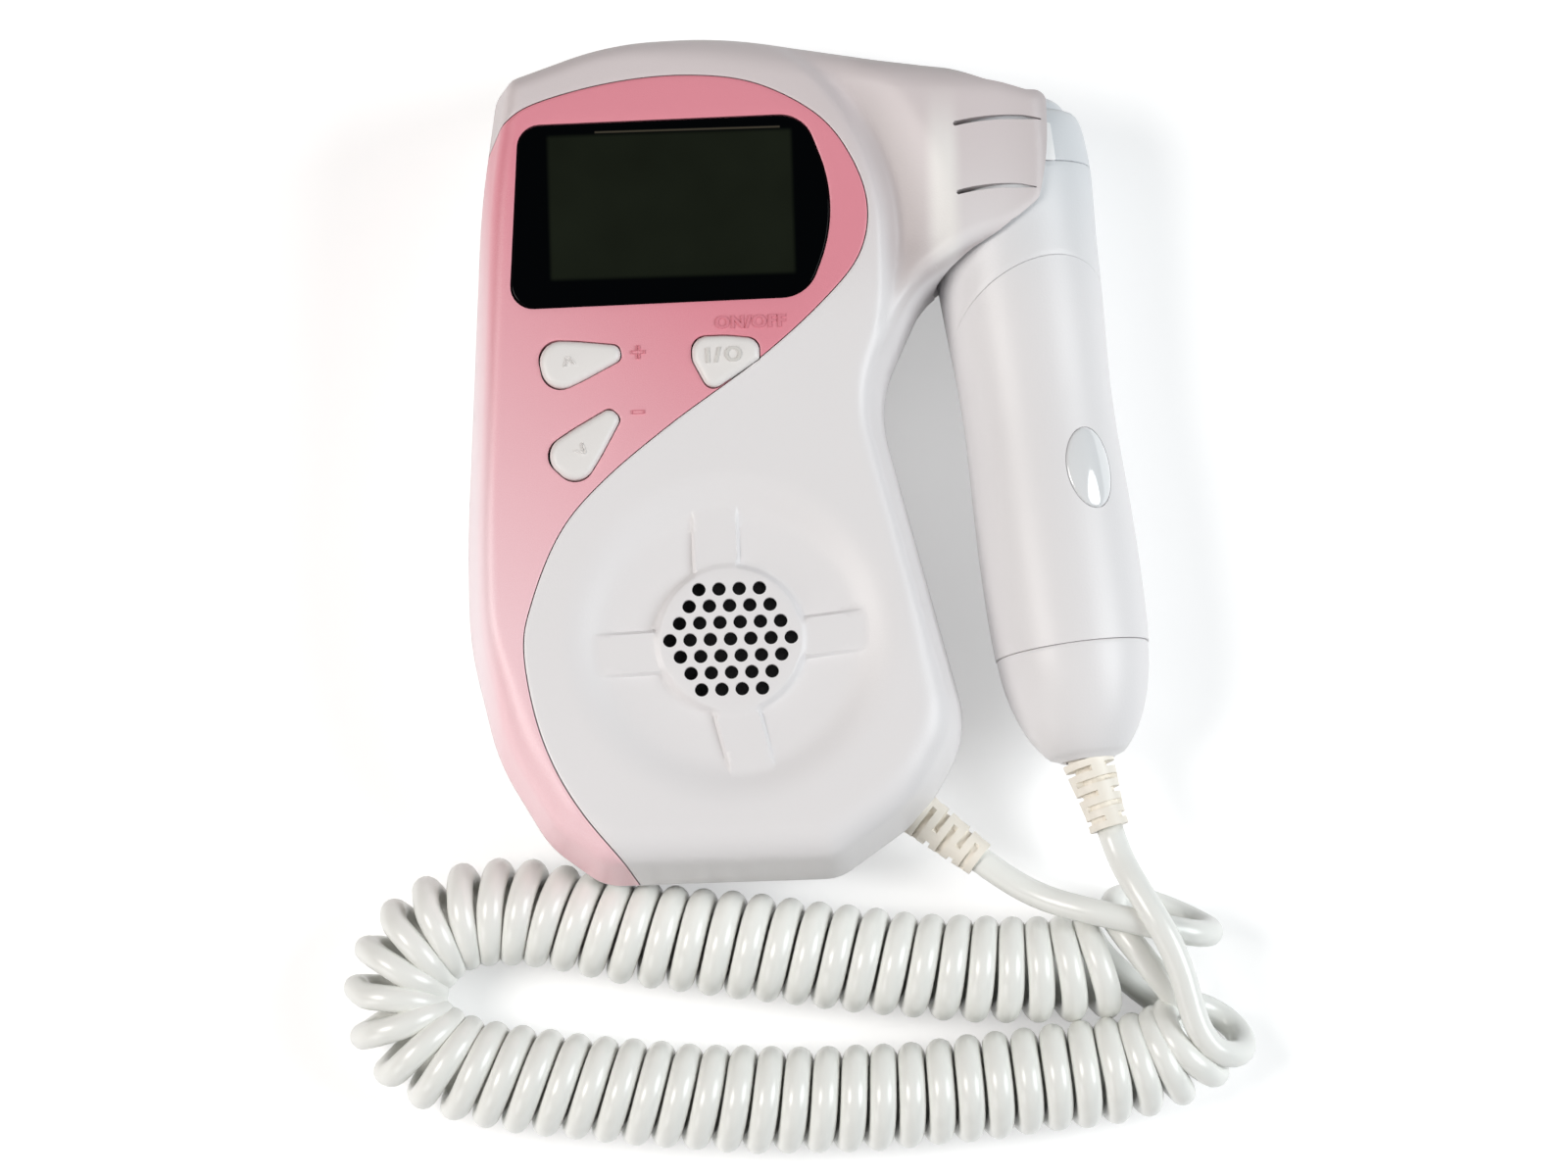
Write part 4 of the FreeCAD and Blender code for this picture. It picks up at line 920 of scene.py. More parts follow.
def rim(distance, top, radius):
    """The drafted side wall, rounded over into the top."""
    slope = FRONT_DRAFT / (FACE_Z - PART_Z)
    lean = math.atan(slope)
    tangent = radius * math.tan(math.pi / 4 - lean / 2)
    corner = (top - PART_Z) * slope
    if distance <= corner - tangent * math.sin(lean):
        return PART_Z + distance / slope
    if distance < corner + tangent:
        return top - radius + math.sqrt(radius ** 2 - min(corner + tangent - distance, radius) ** 2)
    return top


def height(x, y):
    """Height of the finished face."""
    return rim(from_edge(x, y), face_top(x, y), roll(x, y))


def bore_height(x, y):
    """Height of the round bore that the probe lies in."""
    along, aside = probe_place(x, y)
    if along > 4 and abs(aside) < BORE_R:
        return PART_Z + math.sqrt(BORE_R ** 2 - aside ** 2)
    return LEAST_Z


def underside(x, y):
    """Height of the cover's inside."""
    along, aside = probe_place(x, y)
    distance = from_edge(x, y)
    if (along > 2 and abs(aside) < BORE_R + 2.2) or distance < WALL:
        return bore_height(x, y)
    if math.hypot(x - SPEAKER[0], y - SPEAKER[1]) < DISC_R:
        return DISC_Z - GRILLE_WALL
    return max(rim(distance - WALL, face_top(x, y) - WALL, roll(x, y)), LEAST_Z)


print("wall under the dish", round(height(*SPEAKER) - underside(*SPEAKER), 2), "mm")

# %% [markdown]
# Where the cover has an opening or a seam, its edge has to be a line of the triangulation. The helpers
# below collect points, closed loops and rows of points that must stay edges. Fill points come last,
# and only where nothing is near them, so that no needle-thin triangles appear.

# %% Collecting points on the plan
class Plan:
    """Points, kept edges and closed loops of a drawing seen from above."""

    def __init__(self):
        self.points = []
        self.edges = []
        self.loops = []
        self.cells = {}

    def near(self, x, y, least):
        """Whether any point lies nearer than this."""
        reach = int(least) + 1
        for i in range(int(x) - reach, int(x) + reach + 1):
            for j in range(int(y) - reach, int(y) + reach + 1):
                for p in self.cells.get((i, j), ()):
                    if (p[0] - x) ** 2 + (p[1] - y) ** 2 < least * least:
                        return True
        return False

    def add(self, x, y):
        """Adds a point and returns its number."""
        self.points.append(Vector((x, y)))
        self.cells.setdefault((int(x), int(y)), []).append((x, y))
        return len(self.points) - 1

    def fill(self, line, least):
        """The points of a line that have nothing near them yet."""
        for p in line:
            if not self.near(p[0], p[1], least):
                self.add(p[0], p[1])

    def row(self, line):
        """A line of points that stays an edge of the mesh."""
        ids = [self.add(p[0], p[1]) for p in line]
        self.edges += list(zip(ids, ids[1:]))

    def loop(self, line):
        """A closed loop; returns the number by which its inside is known."""
        turn = sum(a[0] * b[1] - b[0] * a[1] for a, b in zip(line, line[1:] + line[:1]))
        self.loops.append([self.add(p[0], p[1]) for p in (line if turn > 0 else line[::-1])])
        return len(self.loops) - 1

    def triangles(self):
        """The triangles, each with the set of loops that it lies in."""
        made = delaunay_2d_cdt(self.points, self.edges, self.loops, 1, 1e-6)
        return made[0], [(tuple(face), set(inside_of)) for face, inside_of in zip(made[2], made[5])]


print("a plan can", [made for made in vars(Plan) if not made.startswith("_")])

# %% [markdown]
# Seams and straps are lines rather than loops. They come as smooth lines through a few points, and a
# second line at a set distance beside each makes the groove or the soft edge.

# %% Lines on the plan
def sideways(line, by):
    """The same open line moved to its right."""
    moved = []
    for k, p in enumerate(line):
        way = line[min(k + 1, len(line) - 1)] - line[max(k - 1, 0)]
        moved.append(p - left_of(way.normalized()) * by)
    return moved


def smooth_line(points, step):
    """A smooth open line through points of the plan."""
    knots = [Vector(p) for p in points]
    line = []
    for k in range(len(knots) - 1):
        p0, p1, p2 = knots[max(k - 1, 0)], knots[k], knots[k + 1]
        p3 = knots[min(k + 2, len(knots) - 1)]
        count = max(2, math.ceil((p2 - p1).length / step))
        for i in range(count):
            t = i / count
            line.append(0.5 * ((2 * p1) + (p2 - p0) * t + (2 * p0 - 5 * p1 + 4 * p2 - p3) * t * t
                               + (3 * p1 - p0 - 3 * p2 + p3) * t ** 3))
    return line + [knots[-1]]


print("a smooth line through 3 points has", len(smooth_line([(0, 0), (9, 2), (18, 0)], 1.0)), "points")

# %% [markdown]
# A moulded cover has an outside and an inside, joined by a wall wherever it ends. Two copies of the
# triangles are lifted to two heights, and every edge that has a triangle on one side only gets a wall.
# So the mesh is closed, as the solid that it stands for is.

# %% Closed shells
SHARP = math.radians(38)            # edges that bend more than this stay sharp


def shell_mesh(name, plan_points, faces, top, under):
    """A closed mesh between two heights over some triangles of the plan."""
    used = sorted({k for face in faces for k in face})
    new = {k: i for i, k in enumerate(used)}
    places = [plan_points[k] for k in used]
    vertices = [(p[0], p[1], top(p[0], p[1])) for p in places]
    vertices += [(x, y, min(under(x, y), z - 0.05)) for x, y, z in vertices]
    count = len(used)
    tops = [tuple(new[k] for k in face) for face in faces]
    sides = {}
    for a, b, c in tops:
        for edge in ((a, b), (b, c), (c, a)):
            if sides.pop((edge[1], edge[0]), None) is None:
                sides[edge] = True
    mesh_faces = tops + [(a + count, c + count, b + count) for a, b, c in tops]
    mesh_faces += [(b, a, a + count, b + count) for a, b in sides]
    item = mesh_object(name, vertices, mesh_faces)
    item.data.set_sharp_from_angle(angle=SHARP)
    return item


print("edges stay sharp from", round(math.degrees(SHARP)), "degrees")

# %% [markdown]
# The seam between the white cover and the pink facing, the window, three keys, the sound holes and the two
# slits of the jaw all cut through the face. A boolean could cut each of them out of a finished mesh, but it
# leaves ragged triangles. Here each opening is a closed loop of the plan, so the triangles end on its edge.

# %% Seam of the pink facing
FACING_EDGE = [(-58.0, 50.0), (-50.1, 54.8), (-43.7, 58.7), (-31.1, 61.9), (-18.4, 62.9), (-6.8, 61.3),
               (3.4, 55.8), (9.0, 48.6), (11.7, 40.0), (10.1, 31.5), (3.6, 23.6), (-7.4, 14.1),
               (-21.9, 3.9), (-33.6, -5.5), (-41.0, -14.0), (-46.0, -25.5), (-47.5, -34.4),
               (-44.8, -48.4), (-38.7, -60.6), (-27.5, -74.0)]
FACING_BACK = [(-62.0, -74.0), (-66.0, 50.0)]
SEAM_HALF = 0.09
seam = smooth_line(FACING_EDGE, 0.8)
print("seam", round(walk(seam)[-1]), "mm long")

# %% [markdown]
# Each volume key is a drop: two circles joined by slightly bulging flanks. The on/off key and the window
# are rounded polygons. A key needs an even gap all round to slide in, so its opening is its own outline
# moved outwards.

# %% Keys and window
WINDOW = [(-48.4, 23.9, 4.0), (1.2, 24.6, 6.5), (7.2, 39.5, 26.0), (1.4, 55.6, 6.0), (-46.2, 55.0, 4.0)]
POWER = [(-18.3, 14.4, 3.2), (-15.5, 8.8, 2.0), (-7.1, 14.3, 0.5), (-7.05, 17.65, 2.3), (-12.5, 18.35, 14.0),
         (-18.2, 18.3, 2.6)]
VOLUME_UP = ((-39.8, 14.3, 3.75), (-31.8, 15.75, 1.6))
VOLUME_DOWN = ((-38.4, -1.3, 3.7), (-32.45, 4.65, 1.65))
KEY_BULGE = 0.22
KEY_GAP = 0.17
WINDOW_GAP = 0.15


def drop_corners(ends):
    """A drop-shaped outline round two circles, with a slight bulge in its flanks, as a rounded polygon."""
    (x1, y1, r1), (x2, y2, r2) = ends
    way = Vector((x2 - x1, y2 - y1))
    lean = math.asin((r1 - r2) / way.length)
    way.normalize()
    side = left_of(way)
    corners = []
    for x, y, r, sign in ((x1, y1, r1, -1), (x2, y2, r2, 1)):
        wide = r * math.tan((math.pi / 2 - sign * lean) / 2) * sign
        middle = Vector((x, y)) + way * (sign * r)
        corners += [(*(middle - side * wide), 0.93 * r), (*(middle + side * wide), 0.93 * r)]
    flanks = []
    for a, b, sign in ((corners[1], corners[2], -1), (corners[3], corners[0], 1)):
        half_way = (Vector(a[:2]) + Vector(b[:2])) / 2 + side * (sign * KEY_BULGE)
        flanks.append((*half_way, 18.0))
    return corners[:2] + flanks[:1] + corners[2:] + flanks[1:]


key_corners = {"volume_up": drop_corners(VOLUME_UP), "volume_down": drop_corners(VOLUME_DOWN),
               "power": POWER}


def key_opening(corners, step, by=0.0):
    """The edge of a key's opening, or a line further out from it."""
    return rounded_loop(moved_in(corners, -KEY_GAP - by), step)


def window_opening(step, by=0.0):
    """The edge of the window's opening, or a line further out from it."""
    return rounded_loop(moved_in(WINDOW, -WINDOW_GAP - by), step)


print("openings for", list(key_corners), "and the window")

# %% [markdown]
# Sound needs many small holes rather than one that a finger could enter, and packed rows leave the most
# plastic between them. The two slits let the jaw bend when the probe is pushed in; they run out to a
# point, as the blade that makes them does.

# %% Sound holes and slits
HOLE_R = 1.14
HOLE_PITCH = 3.35
ROW_PITCH = 2.79
HOLE_ROWS = [4, 5, 6, 7, 6, 5, 4]
SLITS = [((26.9, 53.2), (41.4, 54.0)), ((27.1, 41.5), (40.2, 42.3))]
SLIT_HALF = 0.4
SLIT_BOW = 0.6


def ring(x, y, radius, count, start=0.0):
    """Points of a circle; start turns them by a share of one step."""
    return [Vector((x + radius * math.cos(2 * math.pi * (k + start) / count),
                    y + radius * math.sin(2 * math.pi * (k + start) / count))) for k in range(count)]


def hole_centres():
    """The sound holes, row by row from the display end."""
    x, y = SPEAKER
    for row, count in enumerate(HOLE_ROWS):
        for place in range(count):
            yield x + (place - (count - 1) / 2) * HOLE_PITCH, y - (row - len(HOLE_ROWS) // 2) * ROW_PITCH


def slit_loop(start, end):
    """A slit of the jaw, round at its start, a little bowed, and narrow where it runs out."""
    start, end = Vector(start), Vector(end)
    way = (end - start).normalized()
    side = left_of(way)
    upper, lower = [], []
    for k in range(19):
        share = k / 18
        middle = start.lerp(end, share) + side * (4 * SLIT_BOW * share * (1 - share))
        half = SLIT_HALF * (1 - 0.7 * smooth_step((share - 0.75) / 0.25))
        upper.append(middle + side * half)
        lower.append(middle - side * half)
    turns = [math.pi / 2 + math.pi * k / 10 for k in range(1, 10)]
    nose = [start + way * (SLIT_HALF * math.cos(a)) + side * (SLIT_HALF * math.sin(a)) for a in turns]
    return nose + lower + upper[::-1]


print(len(list(hole_centres())), "holes and", len(SLITS), "slits")

# %% [markdown]
# No moulded edge is truly sharp. Beside the seam, the keys and the window the face sinks by a tenth of a
# millimetre, which is enough for a thin line of light. A Bevel modifier would do it on a plain mesh, but
# on these dense edges it has no room.

# %% Softened edges
# Each line: a tree of its points, how far from it the rounding starts, its width and its depth.
fine_keys = [p for corners in key_corners.values() for p in key_opening(corners, 0.05)]
soft_edges = [(tree_of(smooth_line(FACING_EDGE, 0.05)), SEAM_HALF, 0.4, 0.12),
              (tree_of(fine_keys), 0.0, 0.35, 0.1), (tree_of(window_opening(0.05)), 0.0, 0.3, 0.1)]


def cover_top(x, y):
    """The face with the small roundings along its seam and openings."""
    z = height(x, y)
    for tree, start, width, depth in soft_edges:
        past = away(tree, x, y) - start
        if past < width:
            z -= depth * (1 - max(past, 0.0) / width) ** 2
    return z


print("softened lines", len(soft_edges))

# %% [markdown]
# Every loop has a number, and each triangle says which loops it lies in. So the white cover, the pink facing
# and all that is cut away are only a choice among the triangles. The free edge of the jaw isn't drawn
# anywhere: it is where the side wall meets the bore, and a search finds it point by point.

# %% Loops of the plan
RIM_LEVELS = [0.7, 1.2, 1.6, 2.0, 2.4, 2.8, 3.2, 3.6, 4.0, 4.45, 4.9, 5.4, 6.0, 6.8, 7.6, 8.4]
plan = Plan()
WHOLE = plan.loop(rounded_loop(moved_in(OUTLINE, 0.05), 1.0))
PINK = plan.loop(sideways(seam, SEAM_HALF) + [Vector(p) for p in FACING_BACK])
openings = [sideways(seam, -SEAM_HALF) + sideways(seam, SEAM_HALF)[::-1]]
openings += [key_opening(corners, 0.45) for corners in key_corners.values()] + [window_opening(0.9)]
openings += [ring(x, y, HOLE_R, 20) for x, y in hole_centres()] + [slit_loop(*slit) for slit in SLITS]
dropped = {plan.loop(opening) for opening in openings}


def jaw_lines():
    """The free edge of the jaw, where the side wall comes down to the bore, and a line outside it."""
    edge, outside = [], []
    loop = rounded_loop(OUTLINE, 0.6)
    for k, p in enumerate(loop):
        inward = left_of(loop[(k + 1) % len(loop)] - loop[k - 1]).normalized()
        t, aside = probe_place(p.x, p.y)
        if t < 10 or abs(aside) > BORE_R - 0.05:
            continue
        low, high = 0.0, 4.0
        for _ in range(24):
            mid = (low + high) / 2
            q = p + inward * mid
            if rim(mid, face_top(q.x, q.y), roll(q.x, q.y)) > bore_height(q.x, q.y) + 0.5:
                high = mid
            else:
                low = mid
        edge.append(p + inward * high)
        outside.append(p - inward * 1.5)
    return edge, outside


free_edge, beyond = jaw_lines()
dropped.add(plan.loop(free_edge + beyond[::-1]))
print("jaw edge", len(free_edge), "points from", free_edge[0], "to", free_edge[-1])

# %% [markdown]
# Between the edges the relief needs points too. They follow the form: close beside openings and down the
# rim, in rings round the speaker, in arcs along the valley, in rows over the jaw, and in a loose grid
# elsewhere. A remesh would spread them evenly and need many times as many for edges as clean.

# %% Fill points
NEAR_RIM = 6.6
JAW_ROWS = (-17.25, -17.1, -14.97, -14.85, -14.5, -13.8, -12.8, -11.6, -10.4, -9.2, -8, -6.8, -5.6, -4.4,
            -3.2, -2, -0.8, 0.4, 1.6, 2.8, 4.0, 5.2, 6.4, 7.6, 8.8)
for corners in key_corners.values():
    for by in (0.22, 0.5):
        plan.fill(key_opening(corners, 0.5, by), 0.14)
for by in (0.2, 0.4):
    plan.fill(window_opening(1.0, by), 0.14)
for by in (0.25, 0.45):
    for side in (-1, 1):
        plan.fill(sideways(seam, side * (SEAM_HALF + by)), 0.14)
plan.loop(ring(*SPEAKER, DISC_R + DISC_FOOT, 110))
for turn, half in STRAPS:
    way = Vector((math.cos(turn), math.sin(turn)))
    across = left_of(way)
    for aside in [sign * (half + by) for sign in (-1, 1) for by in (-STRAP_EDGE, -0.1, 0.1, STRAP_EDGE)]:
        line = [Vector(CROSS) + way * (9.6 + 0.6 * k) + across * aside for k in range(24)]
        plan.row([p for p in line if (p - Vector(SPEAKER)).length > DISC_R + DISC_FOOT + 0.2])
for by in (1.1, 0.9, 0.7, 0.5, 0.3, 0.1, -0.1):
    plan.fill(ring(*SPEAKER, DISC_R - by, 100, 5 * by), 0.1)
for x, y in hole_centres():
    plan.fill(ring(x, y, HOLE_R + 0.35, 14), 0.2)
for level in RIM_LEVELS:
    plan.fill(rounded_loop(moved_in(OUTLINE, level), 1.0), 0.3)


def fill_clear(line, least):
    """Fills only away from the rim, or on the clip arm."""
    plan.fill([p for p in line if from_edge(p[0], p[1]) > NEAR_RIM
               or (probe_place(p[0], p[1])[1] > -14 and p[1] > 20)], least)


for k in range(24):
    r = 12.9 + 0.8 * k
    fill_clear(ring(*SPEAKER, r, int(2 * math.pi * r / 1.1), 0.5 * (k % 2)), 0.42)
for k in range(24):
    r = VALLEY_R - 6.5 + 0.6 * k
    angles = [-0.75 + 1.1 * i / r for i in range(int(r * 1.9 / 1.1))]
    fill_clear([(VALLEY_C[0] + r * math.cos(a), VALLEY_C[1] + r * math.sin(a)) for a in angles], 0.42)
whole_loop = [plan.points[i] for i in plan.loops[WHOLE]]
for t in range(38):
    row = [Vector((AXIS_X, 0, 0)) + ALONG * (16 + 1.5 * t + 0.75 * (int(aside * 10) % 2)) + ASIDE * aside
           for aside in JAW_ROWS]
    fill_clear([p for p in row if inside(p, whole_loop)], 0.3)
corner_loop = [corner[:2] for corner in OUTLINE]
grid = [(-60 + 1.3 * i + 0.65 * (j % 2), -75 + 1.3 * j) for i in range(90) for j in range(115)]
plan.fill([p for p in grid if from_edge(*p) > NEAR_RIM and inside(p, corner_loop)], 0.8)

print("plan of", len(plan.points), "points")

# %% [markdown]
# The cover and its pink facing are two mouldings of the real object, so they are two closed shells here.
# Both are chosen from one set of triangles, and so they meet along the seam without a step.

# %% Cover and facing
points, triangles = plan.triangles()
kept = [(face, loops) for face, loops in triangles if WHOLE in loops and not loops & dropped]
white_faces = [face for face, loops in kept if PINK not in loops]
pink_faces = [face for face, loops in kept if PINK in loops]
for name, faces, finish, slot, node in (
        ("white_cover", white_faces, "white_painted_light", "white_shell", "front_shell"),
        ("pink_facing", pink_faces, "pink_paint", "pink_paint", "pink_fascia")):
    hand_over(shell_mesh(name, points, faces, cover_top, underside), "monitor", finish, slot, node)
print("triangles seen from above:", len(white_faces), "white and", len(pink_faces), "pink")

# %% [markdown]
# ## The probe's turned pieces and its badge
#
# The probe is a turned handle, so each of its pieces is a profile carried round the axis. Blender's
# Screw modifier does that for a level profile. Here the foot of the head follows a slanting joint, so
# the profile changes with the angle and the rings of points are worked out directly. A gap of a tenth
# of a millimetre and a small rounding on both sides make the fine dark line of a real joint.

# %% Turned pieces of the probe
AXIS_Z = 17.0
SIDES = 144


def on_axis(t, aside, up):
    """A place given along the probe's axis, to its right, and above it."""
    return Vector((AXIS_X, 0, AXIS_Z)) + ALONG * t + ASIDE * aside + Vector((0, 0, up))


def skin(name, lines, closed=True):
    """A mesh through lines of points side by side in a ring; closed joins both ends of each line."""
    n = len(lines[0])
    faces = []
    for k in range(len(lines)):
        here, there = k * n, (k + 1) % len(lines) * n
        for i in range(n if closed else n - 1):
            j = (i + 1) % n
            faces.append((here + i, there + i, there + j, here + j))
    item = mesh_object(name, [point for line in lines for point in line], faces)
    join_points(item.data, 0.0001, outwards=True)
    item.data.set_sharp_from_angle(angle=math.radians(50))
    return item


def turned_piece(name, profile, node, finish, slot="white_shell", closed=True):
    """A turned solid; the profile gives its (t, radius) pairs for each angle."""
    angles = [2 * math.pi * k / SIDES for k in range(SIDES)]
    lines = [[on_axis(t, r * math.sin(a), r * math.cos(a)) for t, r in profile(a)] for a in angles]
    item = hand_over(skin(name, lines, closed), "probe", finish, slot, node)
    print(name, len(item.data.polygons), "faces")


def soft_ends(low, high, table, steps):
    """The outside of a profile, with a small rounding at both ends."""
    lr, hr = eased(table, low), eased(table, high)
    line = [(low, lr - 0.2), (low + 0.05, lr - 0.07), (low + 0.2, lr)]
    line += [(t, eased(table, t)) for t in (low + (high - low) * k / steps for k in range(1, steps))]
    return line + [(high - 0.2, hr), (high - 0.05, hr - 0.07), (high, hr - 0.2)]


print("a ring of", SIDES, "sides turns", 360 / SIDES, "degrees a side")

# %% [markdown]
# Now the four profiles. Each starts at its foot, runs along the outside to its top, and comes back along
# the inside, so a piece is hollow where the real one is. The lens is a full dome and closes on the axis.

# %% Profiles and pieces
JOINT_T = 20.8
JOINT_LEAN = math.tan(math.radians(35.5))
JOINT_TURN = math.radians(25.0)
RING_FOOT = 46.8
RING_TOP = 56.5
HANDLE = [(-34.5, 13.0), (-30.0, 13.25), (-22.0, 13.4), (-12.0, 13.3), (-2.0, 12.95), (7.0, 12.8),
          (16.0, 13.15), (24.0, 13.6), (30.0, 13.85), (36.0, 14.1), (42.0, 14.5), (46.0, 14.68),
          (49.0, 14.68)]
NOSE = [(46.0, 14.66), (49.0, 14.6), (53.0, 14.3), (55.0, 13.85), (56.0, 13.3), (56.5, 12.5)]
TAIL = [(-53.1, 4.7), (-52.6, 5.9), (-50.8, 7.7), (-47.5, 9.75), (-43.0, 11.45), (-38.5, 12.45),
        (-34.5, 12.8)]
HEAD_WALL = 1.5
HALF_GAP = 0.07
RING_GAP = 0.06
LENS_R = 11.7
LENS_DOME = 4.2


def head_profile(angle):
    """The head sleeve, with its slanting foot."""
    rise = JOINT_LEAN * math.cos(angle - JOINT_TURN)
    low = JOINT_T
    for _ in range(8):
        low = JOINT_T + rise * eased(HANDLE, low)
    foot, top = low + HALF_GAP, RING_FOOT - RING_GAP
    return soft_ends(foot, top, HANDLE, 14) + [(top, 13.2),
                                               (foot - rise * HEAD_WALL, eased(HANDLE, low) - HEAD_WALL)]


def ring_profile(angle):
    """The ring round the lens."""
    foot = RING_FOOT + RING_GAP
    return soft_ends(foot, RING_TOP, NOSE, 22) + [(RING_TOP - 0.1, 12.25), (55.4, 12.25), (foot, 13.1)]


def lens_profile(angle):
    """The dome that touches the skin."""
    reach = [LENS_R * math.sin(math.pi / 2 * k / 16) for k in range(17)]
    line = [(RING_TOP + LENS_DOME * math.sqrt(max(0.0, 1 - (r / LENS_R) ** 3)), r) for r in reach]
    return line + [(RING_TOP - 1.3, LENS_R), (RING_TOP - 1.3, 0.0)]


def tail_profile(angle):
    """The cap at the lead's end."""
    foot, top = TAIL[0][0], TAIL[-1][0] - HALF_GAP
    return soft_ends(foot, top, TAIL, 24) + [(top, 10.8), (-43.0, 9.4), (-50.8, 5.2), (foot, 3.7)]


turned_piece("tail_cap_turned", tail_profile, "probe_tail_cap", "white_shell")
turned_piece("probe_head_turned", head_profile, "probe_head", "painted_shade_ramp")
turned_piece("nose_ring_turned", ring_profile, "probe_nose_ring", "painted_shade_ramp")
turned_piece("lens_dome", lens_profile, "acoustic_lens", "lens_grey", "lens_grey", closed=False)

# %% [markdown]
# The badge is a drop of clear resin in an oval hollow of the barrel: its edge stands just inside the
# hollow and its back follows the barrel, so it is a small dome laid over a curved surface. A short tab of
# the same plastic lies beside the jaw on the nose ring, painted brighter than the ring as a painted
# highlight.

# %% Badge and tab
BADGE_T = -5.6
BADGE_TURN = math.radians(31.0)
BADGE_LONG = 6.86
BADGE_SHORT = 4.26
BADGE_EDGE = 0.25
BADGE_CROWN = 0.6
BADGE_BACK = -0.36
BADGE_SIDES = 64
TAB = [(39.0, 53.8, 0.3), (39.6, 47.1, 0.3), (43.7, 47.35, 0.3), (43.0, 53.9, 0.3)]


def badge_point(along, across, rise):
    """A point over the barrel, from the middle of the badge."""
    out = math.sqrt(eased(HANDLE, BADGE_T + along) ** 2 - across ** 2) + rise
    return on_axis(BADGE_T + along, out * math.sin(BADGE_TURN) + across * math.cos(BADGE_TURN),
                   out * math.cos(BADGE_TURN) - across * math.sin(BADGE_TURN))


def badge_lines():
    """Lines from the top of the dome over its edge to the middle of its back."""
    shares = [math.sin(math.pi / 2 * k / 12) for k in range(13)]
    levels = [(s, BADGE_EDGE * math.sqrt(1 - s ** 16) + BADGE_CROWN * (1 - s * s)) for s in shares]
    levels += [(1.0, BADGE_BACK), (0.0, BADGE_BACK)]
    for k in range(BADGE_SIDES):
        a = 2 * math.pi * k / BADGE_SIDES
        yield [badge_point(BADGE_LONG * s * math.cos(a), BADGE_SHORT * s * math.sin(a), z)
               for s, z in levels]


def tab_top(x, y):
    """Height of the tab, a little proud of the nose ring."""
    along, aside = probe_place(x, y)
    return AXIS_Z + math.sqrt((eased(NOSE, along) + 0.2) ** 2 - aside ** 2)


badge = hand_over(skin("badge_dome", list(badge_lines()), closed=False), "probe", "badge_grey", "badge_grey",
                  "probe_badge")
tab_plan = Plan()
tab_plan.loop(rounded_loop(TAB, 0.4))
tab_plan.fill([(39.3 + 0.4 * i, 47.0 + 0.55 * j) for i in range(12) for j in range(14)], 0.25)
tab_points, tab_triangles = tab_plan.triangles()
tab_faces = [face for face, loops in tab_triangles if loops]
tab = shell_mesh("nose_tab", tab_points, tab_faces, tab_top, lambda x, y: tab_top(x, y) - 0.5)
# The tab's brighter white is a painted highlight.
hand_over(tab, "probe", "tab_white_highlight", "white_shell")
print("badge", len(badge.data.polygons), "tab", len(tab.data.polygons))

# %% [markdown]
# ## Keys and raised marks
#
# The keys are soft pillows that stand in their openings with a small gap all round. They are made as
# the cover is, from a plan and a height. A cube with a subdivision surface makes a pillow faster, but
# its outline would only come near the opening.

# %% Keys
KEY_FOOT = 29.9
KEY_EDGE = 33.75
KEY_ROUND = 1.1             # how far in from its edge the key is rounded
KEY_LEVELS = (0.04, 0.1, 0.18, 0.28, 0.4, 0.56, 0.76, 1.0, 1.3)


def key_piece(key):
    """A pillow over the outline of one key."""
    corners = key_corners[key]
    foot = tree_of(rounded_loop(corners, 0.04))
    key_plan = Plan()
    whole = key_plan.loop(rounded_loop(corners, 0.35))
    loop = [key_plan.points[k] for k in key_plan.loops[whole]]
    for by in KEY_LEVELS:
        key_plan.fill(rounded_loop(moved_in(corners, by), 0.4), 0.07)
    middle = Vector((sum(p.x for p in loop), sum(p.y for p in loop))) / len(loop)
    grid = [middle + Vector((0.6 * i + 0.3 * (j % 2), 0.55 * j))
            for i in range(-14, 15) for j in range(-14, 15)]
    key_plan.fill([p for p in grid if inside(p, loop) and away(foot, *p) > KEY_LEVELS[-1]], 0.3)

    def crown(x, y):
        reach = away(foot, x, y)
        rise = math.sqrt(1 - (1 - min(reach / KEY_ROUND, 1.0)) ** 2)
        return KEY_EDGE + 0.85 * rise + 0.22 * (1 - math.exp(-reach / 2.2))

    points, triangles = key_plan.triangles()
    piece = shell_mesh(key + "_pillow", points, [face for face, _ in triangles], crown,
                       lambda x, y: KEY_FOOT)
    return hand_over(piece, key, "key_white", "key_white", key + "_key")


keys = {key: key_piece(key) for key in key_corners}
print("keys", [len(item.data.polygons) for item in keys.values()])

# %% [markdown]
# The few marks are moulded with the part they stand on. The ON/OFF, plus, minus and I/O marks are painted
# a little deeper than it, painted shade that makes their relief stand out; the arrows take the key's own
# colour. They are letters of Blender's own font and plain outlines, set as a thin raised solid with a small
# bevel that catches the light. A bump would be lighter to compute, but its edge vanishes from the side.

# %% Raised marks
MARK_SLOTS = {"mark_pink_shaded": "pink_paint", "mark_grey_shaded": "key_white", "key_white": "key_white"}


def raised(name, data, centre, spin, z, finish, body, thick, bevel=0.07):
    """A flat curve turned into a thin raised solid round a point of the plan."""
    data.extrude = thick * MM
    data.bevel_depth = bevel * MM
    data.bevel_resolution = 2
    source = new_object(name + "_curve", data)
    source.location = mm(*centre, z)
    source.rotation_euler = (0, 0, math.radians(spin))
    bpy.context.view_layer.update()
    mesh = bpy.data.meshes.new_from_object(source)
    mesh.transform(source.matrix_world)
    mesh.set_sharp_from_angle(angle=SHARP)
    bpy.data.objects.remove(source)
    hand_over(new_object(name, mesh), body, finish, MARK_SLOTS[finish])


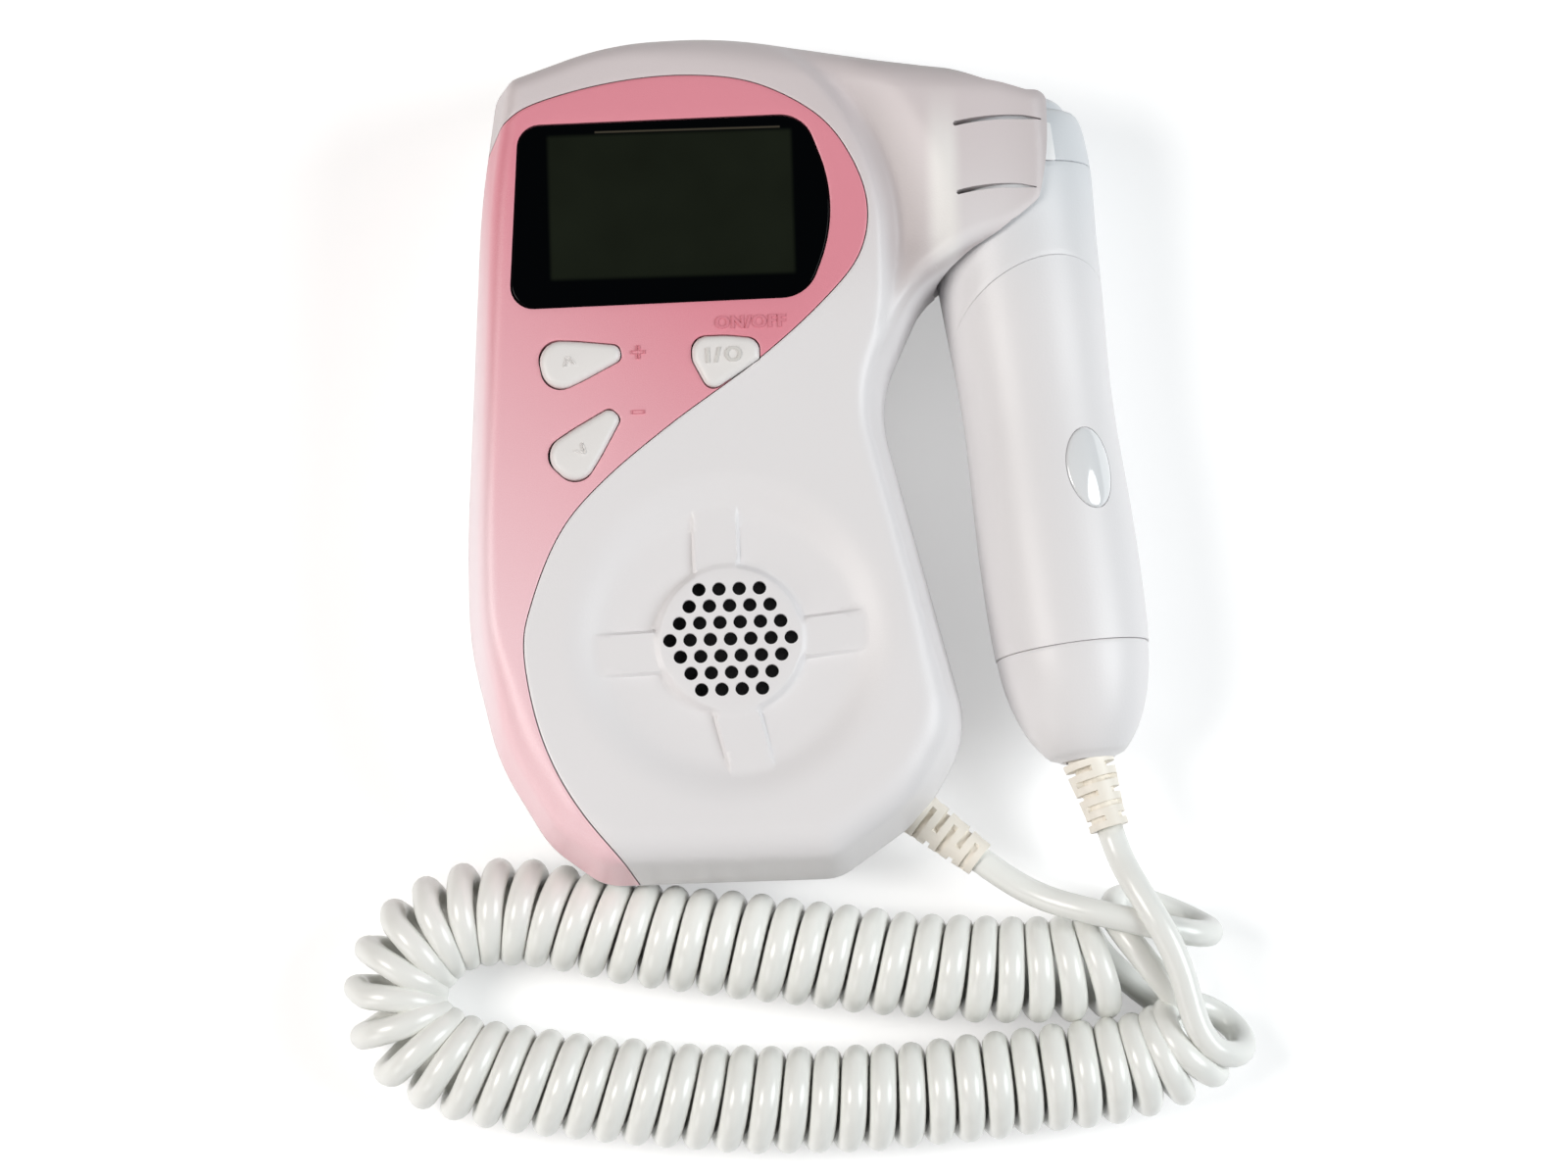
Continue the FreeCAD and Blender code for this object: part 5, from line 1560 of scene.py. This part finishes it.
def words(text, cap, spacing, bold):
    """Letters of Blender's own font, with the height of a capital in millimetres."""
    data = bpy.data.curves.new(text, "FONT")
    data.body = text
    data.size = cap / 0.72 * MM
    data.align_x = "CENTER"
    data.align_y = "CENTER"
    data.resolution_u = 6
    data.space_character = spacing
    data.offset = bold * MM
    return data


def strokes(corners):
    """A flat closed shape from its corners in millimetres."""
    data = bpy.data.curves.new("strokes", "CURVE")
    data.dimensions = "2D"
    spline = data.splines.new("POLY")
    spline.points.add(len(corners) - 1)
    for point, (x, y) in zip(spline.points, corners):
        point.co = (x * MM, y * MM, 0, 1)
    spline.use_cyclic_u = True
    return data


PLUS = [(-1.1, -0.24), (-0.24, -0.24), (-0.24, -1.1), (0.24, -1.1), (0.24, -0.24), (1.1, -0.24),
        (1.1, 0.24), (0.24, 0.24), (0.24, 1.1), (-0.24, 1.1), (-0.24, 0.24), (-1.1, 0.24)]
MINUS = [(-1.0, -0.26), (1.0, -0.26), (1.0, 0.26), (-1.0, 0.26)]
CHEVRON = [(-1.0, -0.75), (-0.6, -0.75), (0.0, 0.3), (0.6, -0.75), (1.0, -0.75), (0.22, 0.75),
           (-0.22, 0.75)]
KEY_TOP = 34.8
on_off, power_mark = words("ON/OFF", 2.1, 1.15, 0.03), words("I/O", 2.5, 1.4, 0.04)
# The deeper colour of these marks is painted shade.
raised("mark_on_off", on_off, (-8.4, 20.45), 0, FACE_Z, "mark_pink_shaded", "monitor", 0.14)
raised("mark_plus", strokes(PLUS), (-27.25, 15.95), 0, FACE_Z, "mark_pink_shaded", "monitor", 0.14)
raised("mark_minus", strokes(MINUS), (-27.5, 5.85), 0, FACE_Z, "mark_pink_shaded", "monitor", 0.14)
raised("mark_power", power_mark, (-13.0, 14.85), 2, KEY_TOP, "mark_grey_shaded", "power", 0.1, 0.05)
raised("mark_up", strokes(CHEVRON), (-38.8, 14.7), 12, KEY_TOP, "key_white", "volume_up", 0.08, 0.05)
raised("mark_down", strokes(CHEVRON), (-37.0, -0.4), 225, KEY_TOP, "key_white", "volume_down", 0.08, 0.05)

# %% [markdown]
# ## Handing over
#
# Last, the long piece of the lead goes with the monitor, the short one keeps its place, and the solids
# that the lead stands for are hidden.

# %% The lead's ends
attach(lead_from_monitor, "monitor")
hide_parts("cord_lead_monitor", "cord_coil")
mm(*MONITOR_ROUTE[0])
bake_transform(lead_to_probe)
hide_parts("cord_lead_probe")
print("the lead's pieces meet at", [round(v, 1) for v in middle])
